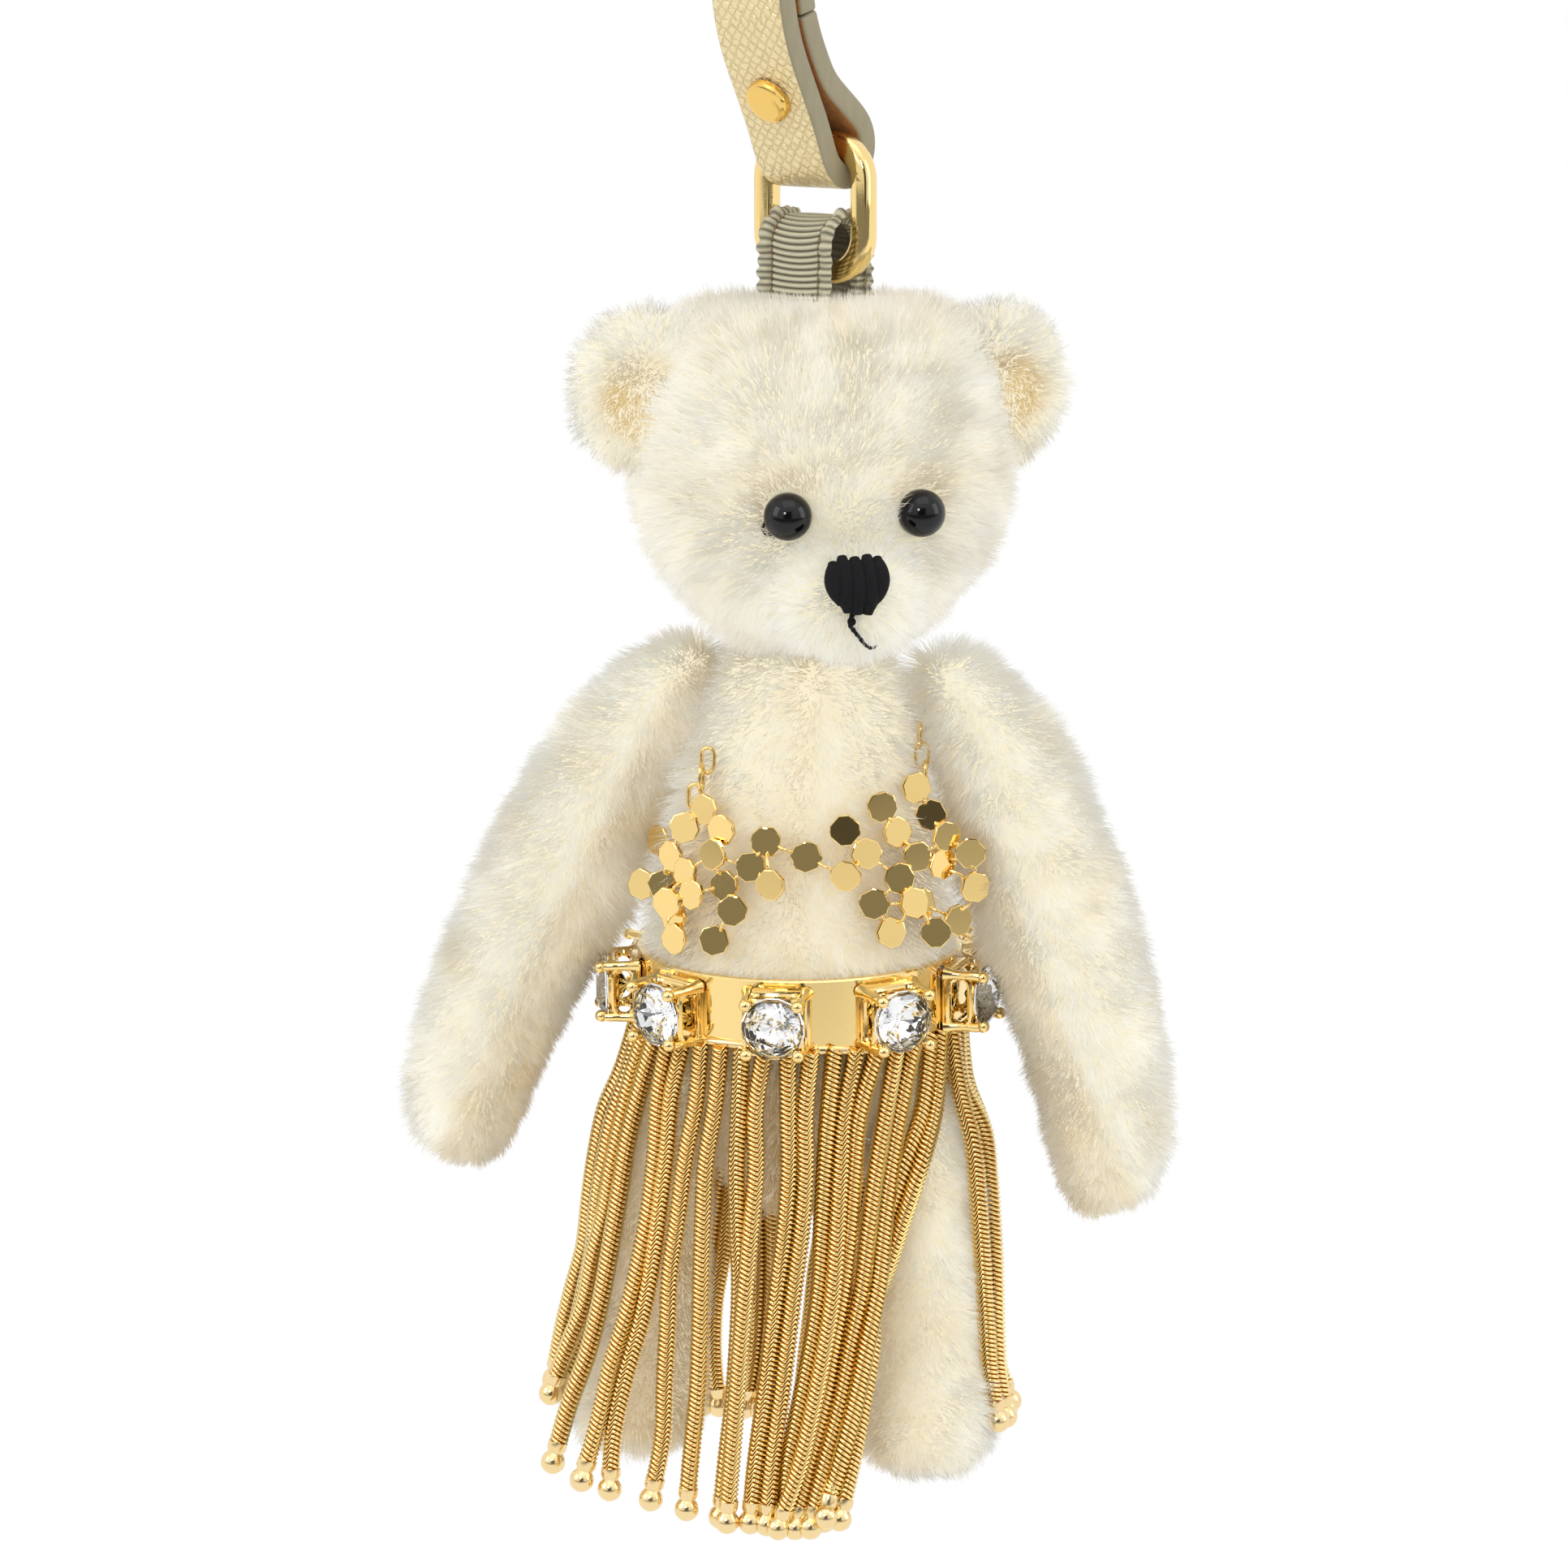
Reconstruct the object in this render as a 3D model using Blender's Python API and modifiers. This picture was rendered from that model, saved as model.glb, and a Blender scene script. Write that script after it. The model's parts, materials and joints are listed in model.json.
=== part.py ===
"""A jointed plush bear that hangs from a leather bag strap.

From the top down: a sprung snap hook with a swivelling eye, a folded leather strap closed by two
rivets, an oblong metal ring, a ribbon loop sewn into the head, and a bear with disc-jointed neck,
arms and legs. The bear wears a top of linked metal plates and a belt of clear stones with a fringe
of metal chains. The origin is the top of the hook's opening, the bear faces -Y, and left and
right are the bear's own.
"""

import math

import bmesh
import bpy
import numpy as np
from mathutils import Matrix, Vector

MM = 0.001
GAP = 0.3  # air between two pieces that rest on each other, in mm like every length below

# Hardware above the bear
HOOK_WIRE = 1.5
HOOK_BEND = 5.5
HOOK_DROP = 13.0
GATE_PIVOT = (-5.4, 0, -14.3)
GATE_WIRE = 1.15
GATE_TOP = 8.8
LAP_AT = 8.0
BARREL_TOP, BARREL_BASE, BARREL_R = -18.6, -25.0, 3.2
POST_R, POST_HEAD_R = 1.3, 2.2
EYE_BAR_Z = -33.4
EYE_SIZE, EYE_WIRE = (11.8, 6.8), 1.1

# Strap, whose width runs along the bars it hangs between
STRAP_YAW = -38
STRAP_WIDTH, STRAP_THICK = 8.5, 2.6
STRAP_BACK = 8.6  # how far the lower bar lies behind the upper one
LOWER_FOLD_Z = -31.1
RIVET_R = 2.3
UPPER_FOLD_R, LOWER_FOLD_R = 2.8, 3.2

RING_BAR_Z = -64.3
RING_SIZE = (11.8, 12.5)  # between the middles of opposite bars
RING_WIRE = (2.0, 2.2)
RIBBON_WIDTH, RIBBON_THICK = 9.0, 1.0
RIBBON_TOP, RIBBON_FOOT = 5.3, -4.8
RIBBON_HALF = 3.0

# Bear
NECK = (5.0, 6.8, -113.15)
HEAD_YAW, TORSO_YAW, TORSO_ROLL = 12.5, -9, 2
HEAD_HEIGHT = 34.8
MUZZLE_AT, MUZZLE_SIZE = (0, -14, 6.9), (8, 8, 6.5)
EYE_AT, EYE_R = (6.5, -18.4, 14.7), 2.3
EAR_AT, EAR_R, EAR_THICK = (18.2, -5.0, 27.0), 7.8, 2.7
SHOULDER, SHOULDER_TILT = (10.9, 0, -5.8), 24
HIP = (8.3, -0.5, -49.3)

# Belt and fringe, in the torso's frame
BELT_Z, BELT_HEIGHT, BELT_THICK = -34.1, 6.9, 0.9
BELT_HALF = (15.2, 13.2)
STONES, STONE_R = 9, 3.1
SETTING, CLAW_R = 6.0, 0.43
STRANDS, STRAND_R, BALL_R = 44, 0.8, 1.25
STRAND_RING = (15.9, 13.9)
STRAND_TOP = -38.4
HINGE_OUT, HINGE_DROP = 0.7, 1.2  # a group's hinge from its foremost chain, so it clears the belt
LEVELS = 7

# Plate top, in the torso's frame
CUP_AT, CUP_HALF = (8.0, -19.6), (7.0, 9.2)
CUP_SHIFT = 0.9
PLATE, PLATE_THICK, PLATE_STEP = 3.0, 0.4, 2.45


def start_scene():
    for obj in list(bpy.data.objects):
        bpy.data.objects.remove(obj, do_unlink=True)
    scene = bpy.context.scene
    for name in ("plush_bear_charm", "cutters"):
        scene.collection.children.link(bpy.data.collections.new(name))
    bpy.data.collections["cutters"].hide_render = True


def material(name, colour, roughness, metallic=0.0, alpha=1.0):
    mat = bpy.data.materials.new(name)
    mat.use_nodes = True
    shader = mat.node_tree.nodes["Principled BSDF"]
    shader.inputs["Base Color"].default_value = (*colour, 1)
    shader.inputs["Roughness"].default_value = roughness
    shader.inputs["Metallic"].default_value = metallic
    shader.inputs["Alpha"].default_value = alpha
    return mat


def frame(name, at, parent=None, turn=(0, 0, 0)):
    """An empty on a joint, in millimetres and degrees from its parent."""
    empty = bpy.data.objects.new(name, None)
    empty.empty_display_size = 0.005
    empty.parent = parent
    empty.location = Vector(at) * MM
    empty.rotation_euler = [math.radians(a) for a in turn]
    bpy.data.collections["plush_bear_charm"].objects.link(empty)
    return empty


def add(name, data, mat, parent=None, at=(0, 0, 0), turn=(0, 0, 0), cutter=False, smooth=True):
    """Puts finished geometry, in millimetres, into the scene as one named piece."""
    if isinstance(data, bmesh.types.BMesh):
        bmesh.ops.recalc_face_normals(data, faces=data.faces)
        mesh = bpy.data.meshes.new(name)
        data.to_mesh(mesh)
        data.free()
    else:
        mesh = data
    mesh.transform(Matrix.Scale(MM, 4))
    for polygon in mesh.polygons:
        polygon.use_smooth = smooth
    obj = bpy.data.objects.new(name, mesh)
    obj.parent = parent
    obj.location = Vector(at) * MM
    obj.rotation_euler = [math.radians(a) for a in turn]
    if cutter:
        obj.hide_render = True
        obj.display_type = "WIRE"
        bpy.data.collections["cutters"].objects.link(obj)
    else:
        mesh.materials.append(mat)
        bpy.data.collections["plush_bear_charm"].objects.link(obj)
    return obj


def combine(obj, other, operation="DIFFERENCE", own=False):
    boolean = obj.modifiers.new(operation.lower(), "BOOLEAN")
    boolean.operation = operation
    boolean.solver = "EXACT"
    boolean.use_self = own
    boolean.object = other


def baked(obj, name):
    """The mesh that an object's modifiers or curve make, in its own millimetres. The object goes."""
    bpy.context.view_layer.update()
    graph = bpy.context.evaluated_depsgraph_get()
    mesh = bpy.data.meshes.new_from_object(obj.evaluated_get(graph))
    mesh.name = name
    bpy.data.objects.remove(obj, do_unlink=True)
    bm = bmesh.new()
    bm.from_mesh(mesh)
    bmesh.ops.remove_doubles(bm, verts=bm.verts, dist=1e-4)
    bm.to_mesh(mesh)
    bm.free()
    return mesh


def box(bm, low, high):
    low, high = Vector(low), Vector(high)
    place = Matrix.Translation((low + high) / 2) @ Matrix.Diagonal((*(high - low), 1))
    bmesh.ops.create_cube(bm, size=1, matrix=place)
    return bm


def rod(bm, start, end, radius, sides=8):
    start, end = Vector(start), Vector(end)
    turn = Vector((0, 0, 1)).rotation_difference(end - start).to_matrix().to_4x4()
    bmesh.ops.create_cone(
        bm, cap_ends=True, segments=sides, radius1=radius, radius2=radius,
        depth=(end - start).length, matrix=Matrix.Translation((start + end) / 2) @ turn,
    )
    return bm


def ball(bm, centre, radii, across=12, down=8):
    place = Matrix.Translation(centre) @ Matrix.Diagonal((*radii, 1))
    bmesh.ops.create_uvsphere(bm, u_segments=across, v_segments=down, radius=1, matrix=place)
    return bm


def turned(name, profile, mat, steps=16, cutter=False, **placing):
    """A body turned round its own Z from (radius, height) points that run from top to bottom."""
    mesh = bpy.data.meshes.new(name)
    mesh.from_pydata(
        [(r, 0, z) for r, z in profile], [(i, i + 1) for i in range(len(profile) - 1)], []
    )
    obj = add(name, mesh, mat, cutter=cutter, **placing)
    screw = obj.modifiers.new("turn", "SCREW")
    screw.axis = "Z"
    screw.steps = screw.render_steps = steps
    screw.use_merge_vertices = True
    screw.merge_threshold = 1e-6
    screw.use_smooth_shade = True
    return obj


def wire(name, splines, radius, sides_step=2):
    """The mesh of round wire along lists of (x, y, z, relative radius) points."""
    curve = bpy.data.curves.new(name, "CURVE")
    curve.dimensions = "3D"
    curve.bevel_depth = radius
    curve.bevel_resolution = sides_step
    curve.use_fill_caps = True
    for points in splines:
        spline = curve.splines.new("POLY")
        spline.points.add(len(points) - 1)
        for point, (x, y, z, scale) in zip(spline.points, points):
            point.co = (x, y, z, 1)
            point.radius = scale
    obj = bpy.data.objects.new(name, curve)
    bpy.context.scene.collection.objects.link(obj)
    return baked(obj, name)


def arc(centre, radius, start, end, steps):
    """Points on part of a circle in the XZ plane, from one angle to another in degrees."""
    angles = [math.radians(start + (end - start) * i / steps) for i in range(steps + 1)]
    return [(centre[0] + radius * math.cos(a), centre[1] + radius * math.sin(a)) for a in angles]


def loop_frame(size, section, corner=3.0):
    """A closed rounded-rectangle loop of bevelled flat bar in the XZ plane."""
    half_x, half_z = size[0] / 2, size[1] / 2
    path = []
    for sx, sz, start in ((1, 1, 0), (-1, 1, 90), (-1, -1, 180), (1, -1, 270)):
        centre = (sx * (half_x - corner), sz * (half_z - corner))
        path += arc(centre, corner, start, start + 90, 4)
    wide, thick = section[0] / 2, section[1] / 2
    cut = 0.55
    profile = [
        (wide, thick - cut), (wide - cut, thick), (cut - wide, thick), (-wide, thick - cut),
        (-wide, cut - thick), (cut - wide, -thick), (wide - cut, -thick), (wide, cut - thick),
    ]
    bm = bmesh.new()
    rings = []
    for i, (x, z) in enumerate(path):
        after, before = path[(i + 1) % len(path)], path[i - 1]
        along = Vector((after[0] - before[0], 0, after[1] - before[1])).normalized()
        out = along.cross(Vector((0, 1, 0)))
        rings.append([bm.verts.new(Vector((x, 0, z)) + out * u + Vector((0, v, 0)))
                      for u, v in profile])
    for i, ring in enumerate(rings):
        after = rings[(i + 1) % len(rings)]
        for j in range(len(ring)):
            k = (j + 1) % len(ring)
            bm.faces.new((ring[j], ring[k], after[k], after[j]))
    return bm


def smooth_path(points, per_span=4):
    """A Catmull-Rom curve through flat points."""
    points = [np.array(p, float) for p in points]
    points = [2 * points[0] - points[1], *points, 2 * points[-1] - points[-2]]
    path = []
    for a, b, c, d in zip(points, points[1:], points[2:], points[3:]):
        for t in np.arange(per_span) / per_span:
            path.append(0.5 * (2 * b + (c - a) * t + (2 * a - 5 * b + 4 * c - d) * t**2
                               + (3 * b - a - 3 * c + d) * t**3))
    return path + [points[-2]]


def strip(path, thick, width):
    """A band of constant thickness whose middle follows (back, up) points, and whose width is X."""
    path = np.array(path)
    along = np.gradient(path, axis=0)
    along /= np.linalg.norm(along, axis=1)[:, None]
    out = np.stack([-along[:, 1], along[:, 0]], axis=1)
    bm = bmesh.new()
    rows = []
    for point, side in zip(path, out):
        corners = [point + side * thick / 2, point - side * thick / 2]
        rows.append([bm.verts.new((x, y, z)) for x, (y, z) in
                     ((width / 2, corners[0]), (-width / 2, corners[0]),
                      (-width / 2, corners[1]), (width / 2, corners[1]))])
    for a, b in zip(rows, rows[1:]):
        for i in range(4):
            bm.faces.new((a[i], a[(i + 1) % 4], b[(i + 1) % 4], b[i]))
    bm.faces.new(rows[0])
    bm.faces.new(rows[-1])
    return bm


def stuffed(name, stations, mat, sides=12, grow=0.0, **placing):
    """A sewn and filled body: rings (height, x, y, half width, half depth), rounded over."""
    bm = bmesh.new()
    last = len(stations) - 1
    swell = 1 / (0.75 + 0.25 * math.cos(2 * math.pi / sides))  # rounding draws a ring in by this
    rings = []
    for i, (z, x, y, half_x, half_y) in enumerate(stations):
        lift = grow * (1 if z > stations[last // 2][0] else -1) if i in (0, last) else 0
        rings.append([
            bm.verts.new((x + (half_x + grow) * swell * math.cos(a),
                          y + (half_y + grow) * swell * math.sin(a), z + lift))
            for a in (2 * math.pi * k / sides for k in range(sides))
        ])
    for a, b in zip(rings, rings[1:]):
        for k in range(sides):
            bm.faces.new((a[k], a[(k + 1) % sides], b[(k + 1) % sides], b[k]))
    bm.faces.new(rings[0])
    bm.faces.new(rings[-1])
    obj = add(name, bm, mat, **placing)
    rounding = obj.modifiers.new("rounding", "SUBSURF")
    rounding.levels = rounding.render_levels = 1
    return obj


def section_at(stations, height):
    """(x, y, half width, half depth) of a stuffed body at one height."""
    rows = np.array(sorted(stations))
    return [float(np.interp(height, rows[:, 0], rows[:, i])) for i in range(1, 5)]


def disc_joint(name, limb, body, parent, at, turn, radius, mats, limb_depth=1.2, body_depth=1.2):
    """A fibreboard disc in the limb and one in the body, held by a split pin along local X.

    Each disc lies in a pocket that the pin's hole opens, and local +X points into the limb.
    """
    pocket = radius + GAP
    thick, pin_r, hole_r, head = 1.0, 0.5, 0.9, 0.5
    placing = dict(parent=parent, at=at, turn=(turn[0], turn[1] + 90, turn[2]))
    for side, depth, owner, label in ((1, limb_depth, limb, "limb"), (-1, body_depth, body, "body")):
        near, far = depth, depth + thick + head + 2 * GAP + 0.3
        profile = [(0, far), (pocket, far), (pocket, near), (hole_r, near), (hole_r, -0.6), (0, -0.6)]
        if side < 0:
            profile = [(r, -z) for r, z in reversed(profile)]
        combine(owner, turned(f"{name}_{label}_pocket", profile, None, 12, cutter=True, **placing))
        low, high = sorted((side * (near + GAP), side * (near + GAP + thick)))
        disc = [(hole_r, high), (radius, high), (radius, low), (hole_r, low), (hole_r, high)]
        turned(f"{name}_disc_{label}", disc, mats[0], steps=12, **placing)
    top = limb_depth + thick + 2 * GAP
    base = -(body_depth + thick + 2 * GAP)
    pin = [(0, top + head), (1.3, top + head), (1.3, top), (pin_r, top), (pin_r, base),
           (1.3, base), (1.3, base - head), (0, base - head)]
    turned(f"{name}_pin", pin, mats[1], steps=8, **placing)


def build_hook(gold):
    """A snap hook whose sprung gate closes against the hook's tip in a half lap."""
    bend = HOOK_BEND
    path = [(-bend, -6.3), (-bend, -4.8)] + arc((0, HOOK_WIRE - bend), bend, 180, 0, 12)
    path += arc((0, -HOOK_DROP), bend, 0, -166, 11)
    hook = add("snap_hook", wire("hook_wire", [[(x, 0, z, 1) for x, z in path]], HOOK_WIRE), gold)
    knuckle = ball(bmesh.new(), GATE_PIVOT, (2.2, 2.0, 2.2))
    combine(hook, add("hook_knuckle", knuckle, None, cutter=True), "UNION")
    barrel = [(0, BARREL_TOP + 1.4), (2.0, BARREL_TOP + 1.4), (BARREL_R, BARREL_TOP - 0.6),
              (BARREL_R, BARREL_BASE + 0.4), (BARREL_R - 0.4, BARREL_BASE), (0, BARREL_BASE)]
    combine(hook, turned("hook_barrel", barrel, None, steps=24, cutter=True), "UNION")
    socket = [(0, -20.6), (POST_HEAD_R + GAP, -20.6), (POST_HEAD_R + GAP, -23.9),
              (POST_R + GAP, -23.9), (POST_R + GAP, -26), (0, -26)]
    combine(hook, turned("barrel_socket", socket, None, steps=24, cutter=True))
    px, _, pz = GATE_PIVOT
    slot = box(bmesh.new(), (px - 4, -0.8, pz - 1.9), (px + 2.0, 0.8, pz + 4))
    combine(hook, add("knuckle_slot", slot, None, cutter=True))
    lap = box(bmesh.new(), (px - 0.25, -2, -7), (px + 3, 2, -5.2))
    combine(hook, add("tip_lap", lap, None, cutter=True))
    pin_hole = rod(bmesh.new(), (px, -3, pz), (px, 3, pz), 0.65, 12)
    combine(hook, add("pin_hole", pin_hole, None, cutter=True))
    pin = rod(bmesh.new(), (0, -2.0, 0), (0, 2.0, 0), 0.58, 12)
    add("gate_pin", pin, gold, at=GATE_PIVOT)

    at = frame("joint_gate", GATE_PIVOT)
    lever = wire("gate_wire", [[(0, 0, 2.7, 1), (-0.1, 0, 4, 1), (-0.1, 0, GATE_TOP, 1)]], GATE_WIRE)
    gate = add("hook_gate", lever, gold, parent=at)
    tongue = box(bmesh.new(), (-1.1, -0.5, -0.2), (1.0, 0.5, 3.4))
    rod(tongue, (0, -0.5, 0), (0, 0.5, 0), 1.15, 16)
    combine(gate, add("gate_tongue", tongue, None, parent=at, cutter=True), "UNION", own=True)
    bore = rod(bmesh.new(), (0, -2, 0), (0, 2, 0), 0.65, 12)
    combine(gate, add("gate_bore", bore, None, parent=at, cutter=True))
    half = box(bmesh.new(), (-3, -2, LAP_AT - GAP), (0.15, 2, GATE_TOP + 1))
    combine(gate, add("gate_lap", half, None, parent=at, cutter=True))


def build_swivel(gold):
    at = frame("joint_swivel", (0, 0, BARREL_BASE), turn=(0, 0, STRAP_YAW))
    top_z = EYE_BAR_Z + EYE_SIZE[1] - BARREL_BASE
    eye = add("swivel_eye", loop_frame(EYE_SIZE, (2 * EYE_WIRE, 2 * EYE_WIRE), 2.2), gold,
              parent=at, at=(0, 0, top_z - EYE_SIZE[1] / 2))
    post = [(0, 2.9), (1.6, 2.9), (POST_HEAD_R, 2.4), (POST_HEAD_R, 1.5), (POST_R, 1.5),
            (POST_R, top_z - 0.4), (0, top_z - 0.4)]
    combine(eye, turned("swivel_post", post, None, cutter=True, parent=at), "UNION")


def strap_path():
    """The leather's middle line from one butted end, round the upper bar and the lower bar."""
    slope = [(0, -4.6), (0.05, -10.5), (0.35, -16.4), (1.3, -20.6), (4.4, -25.3), (6.9, -28.2)]
    middle = np.array(smooth_path(slope, 2))
    along = np.gradient(middle, axis=0)
    along /= np.linalg.norm(along, axis=1)[:, None]
    side = np.stack([-along[:, 1], along[:, 0]], axis=1)  # points to the back
    apart = STRAP_THICK / 2 + 0.15
    back, front = middle + side * apart, middle - side * apart
    upper = [(UPPER_FOLD_R * math.cos(a), UPPER_FOLD_R * math.sin(a))
             for a in np.radians(np.linspace(-20, 200, 10))]
    tilt = 36
    lower = [(STRAP_BACK + LOWER_FOLD_R * math.cos(a), LOWER_FOLD_Z + LOWER_FOLD_R * math.sin(a))
             for a in np.radians(np.linspace(180 + tilt - 30, 360 + tilt + 30, 10))]
    butt = 5  # the two ends meet just past this point of the back layer
    last, first = (back[butt] * (1 - t) + back[butt + 1] * t for t in (0.08, 0.36))
    return [last, *back[butt::-1], *upper, *front, *lower, *back[:butt:-1], first]


def build_strap(leather, gold):
    at = frame("joint_strap", (0, 0, EYE_BAR_Z), turn=(0, 0, STRAP_YAW))
    strap = add("leather_strap", strip(strap_path(), STRAP_THICK, STRAP_WIDTH), leather,
                parent=at, smooth=False)
    reach = STRAP_THICK + 0.15
    for name, back, up, lean in (("lower", 4.05, -24.9, 33), ("upper", 0.0, -7.0, 0)):
        place = dict(parent=at, at=(0, back, up), turn=(90 + lean, 0, 0))
        hole = [(0, 4), (1.2, 4), (1.2, -4), (0, -4)]
        combine(strap, turned(f"{name}_rivet_hole", hole, None, steps=12, cutter=True, **place))
        face = reach + GAP
        cap = [(0, face + 1.1), (1.5, face + 1.05), (RIVET_R, face + 0.6), (RIVET_R, face),
               (0.9, face), (0.9, -face + 0.1), (0, -face + 0.1)]
        turned(f"{name}_rivet_cap", cap, gold, **place)
        cup = [(0, -face - 0.2), (0.9, -face - 0.2), (0.9, -face), (RIVET_R, -face),
               (RIVET_R, -face - 0.5), (1.6, -face - 0.9), (0, -face - 0.9)]
        turned(f"{name}_rivet_back", cup, gold, **place)


def build_ring(gold):
    c, s = math.cos(math.radians(STRAP_YAW)), math.sin(math.radians(STRAP_YAW))
    at = frame("joint_ring", (-s * STRAP_BACK, c * STRAP_BACK, RING_BAR_Z), turn=(0, 0, STRAP_YAW))
    add("oblong_ring", loop_frame(RING_SIZE, RING_WIRE, 3.6), gold, parent=at,
        at=(0, 0, -RING_SIZE[1] / 2))
    return frame("joint_head", (0, 0, -RING_SIZE[1]), parent=at)


def head_stations():
    return [
        (0.15, 0, -3.0, 7.6, 7.6), (1.6, 0, -3.4, 10.4, 9.8), (4.2, 0, -3.8, 13.4, 12.6),
        (8.0, 0, -4.0, 16.6, 15.0), (13, 0, -4.0, 18.7, 16.4), (18, 0, -4.0, 18.8, 16.5),
        (23, 0, -3.7, 17.8, 15.8), (27.6, 0, -3.3, 15.9, 14.2), (31.4, 0, -3.0, 13.2, 11.6),
        (33.8, 0, -2.8, 9.6, 8.6), (HEAD_HEIGHT, 0, -2.6, 5.0, 4.6),
    ]


def build_head(mats, joint_head):
    plush, ribbon, black, thread = mats["plush"], mats["ribbon"], mats["eye"], mats["nose"]
    half = RIBBON_HALF
    loop = [(half, RIBBON_FOOT), (half, -1.5), (half - 0.1, 2.0)]
    loop += [(half * math.cos(a), RIBBON_TOP - half + half * math.sin(a))
             for a in np.radians(np.linspace(15, 165, 9))]
    loop += [(0.1 - half, 2.0), (-half, -1.5), (-half, RIBBON_FOOT)]
    add("ribbon_loop", strip(loop, RIBBON_THICK, RIBBON_WIDTH), ribbon, parent=joint_head)

    at = frame("head_frame", NECK, turn=(0, 0, HEAD_YAW))
    head = stuffed("head", head_stations(), plush, parent=at)
    muzzle = ball(bmesh.new(), MUZZLE_AT, MUZZLE_SIZE, 16, 10)
    combine(head, add("muzzle", muzzle, None, parent=at, cutter=True), "UNION")
    around = RIBBON_HALF + RIBBON_THICK / 2 + GAP
    pit = box(bmesh.new(), (-RIBBON_WIDTH / 2 - GAP, -around, RIBBON_FOOT - GAP),
              (RIBBON_WIDTH / 2 + GAP, around, 3))
    combine(head, add("ribbon_pit", pit, None, parent=joint_head, cutter=True))

    for side, label in ((1, "left"), (-1, "right")):
        eye_at = (side * EYE_AT[0], EYE_AT[1], EYE_AT[2])
        place = dict(parent=at, at=eye_at, turn=(90, 0, side * 20))
        profile = [(0, EYE_R)]
        profile += [(EYE_R * math.sin(a), EYE_R * math.cos(a))
                    for a in np.radians(np.linspace(35, 160, 5))]
        profile += [(0.5, -EYE_R - 0.2), (0.5, -EYE_R - 2.4), (0, -EYE_R - 2.4)]
        turned(f"eye_{label}", profile, black, 12, **place)
        socket = [(r + GAP if r else 0, z + GAP * (1 if z > 0 else -1)) for r, z in profile]
        combine(head, turned(f"eye_socket_{label}", socket, None, cutter=True, **place))
        ear_at = (side * EAR_AT[0], EAR_AT[1], EAR_AT[2])
        ear_shape = ball(bmesh.new(), (0, 0, 0), (EAR_R, EAR_THICK, EAR_R), 16, 10)
        place = dict(parent=at, at=ear_at, turn=(0, 0, side * 14))
        ear = add(f"ear_{label}", ear_shape, plush, **place)
        dish = ball(bmesh.new(), (0, -5.1, -1.2), (5.6, 4.0, 5.8), 16, 10)
        combine(ear, add(f"ear_dish_{label}", dish, None, cutter=True, **place))
        grown = stuffed(f"head_grown_{label}", head_stations(), None, grow=0.35, parent=at,
                        cutter=True)
        combine(ear, grown)

    nose = bmesh.new()
    outline = [(-3.2, 2.5), (-2.2, 3.05), (2.2, 3.05), (3.2, 2.5), (3.1, 0.2), (2.0, -2.2),
               (0.9, -3.0), (-0.9, -3.0), (-2.0, -2.2), (-3.1, 0.2)]
    rows = [(1.0, 0.0), (1.0, -0.8), (0.72, -1.5)]
    rings = [[nose.verts.new((x * k, y, z * k)) for x, z in outline] for k, y in rows]
    for a, b in zip(rings, rings[1:]):
        for i in range(len(outline)):
            j = (i + 1) % len(outline)
            nose.faces.new((a[i], a[j], b[j], b[i]))
    nose.faces.new(rings[0])
    nose.faces.new(rings[-1])
    add("nose", nose, thread, parent=at, at=(-0.7, -22.35, 8.3), turn=(-14, 0, 0))
    return head


def torso_stations():
    return [
        (-0.3, 0, 0, 7.0, 7.0), (-2.4, 0, 0, 8.6, 8.2), (-5.6, 0, 0, 10.2, 9.0),
        (-12, 0, -0.3, 11.8, 10.2), (-20, 0, -0.5, 13.4, 11.6), (-28, 0, -0.5, 14.6, 12.6),
        (-34, 0, -0.3, 14.9, 12.9), (-38.4, 0, 0, 13.8, 12.3), (-41.6, 0, 0, 10.4, 11.6),
        (-44.2, 0, 0, 8.2, 11.0), (-49, 0, 0, 7.9, 10.2), (-53.6, 0, 0, 6.8, 8.4),
        (-57.0, 0, 0, 3.6, 4.4),
    ]


def arm_stations():
    """Along the arm's own length, with X measured out from the shoulder's face."""
    return [
        (4.5, 3.1, 0, 1.6, 1.8), (3.2, 3.5, 0, 3.1, 3.5), (0, 4.3, 0, 4.1, 4.9),
        (-5, 5.3, -0.1, 5.2, 5.7), (-12, 6.1, -0.2, 6.0, 6.2), (-24, 6.0, -0.4, 6.4, 6.4),
        (-36, 4.9, -0.6, 6.2, 6.2), (-45, 3.3, -0.8, 5.9, 5.9), (-50.5, 1.8, -1.0, 5.2, 5.2),
        (-53.2, 0.9, -1.0, 2.8, 2.8),
    ]


def leg_stations():
    """Down the leg, with X measured out from the hip's face and the foot reaching forward."""
    return [
        (6.3, 4.6, 0, 1.8, 2.4), (4.6, 4.6, 0, 3.4, 5.0), (0, 4.8, 0, 4.5, 7.0),
        (-7, 4.9, 0, 5.2, 7.0), (-15, 5.0, 0.2, 5.8, 6.5), (-21.5, 5.1, 0.4, 5.9, 6.2),
        (-26.5, 5.3, -0.8, 6.3, 7.4), (-30, 5.4, -1.8, 6.6, 8.6), (-32.4, 5.4, -1.8, 5.6, 7.4),
        (-33.3, 5.4, -1.8, 3.2, 4.6),
    ]


def mirrored(stations, side):
    return [(z, side * x, y, half_x, half_y) for z, x, y, half_x, half_y in stations]


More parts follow.
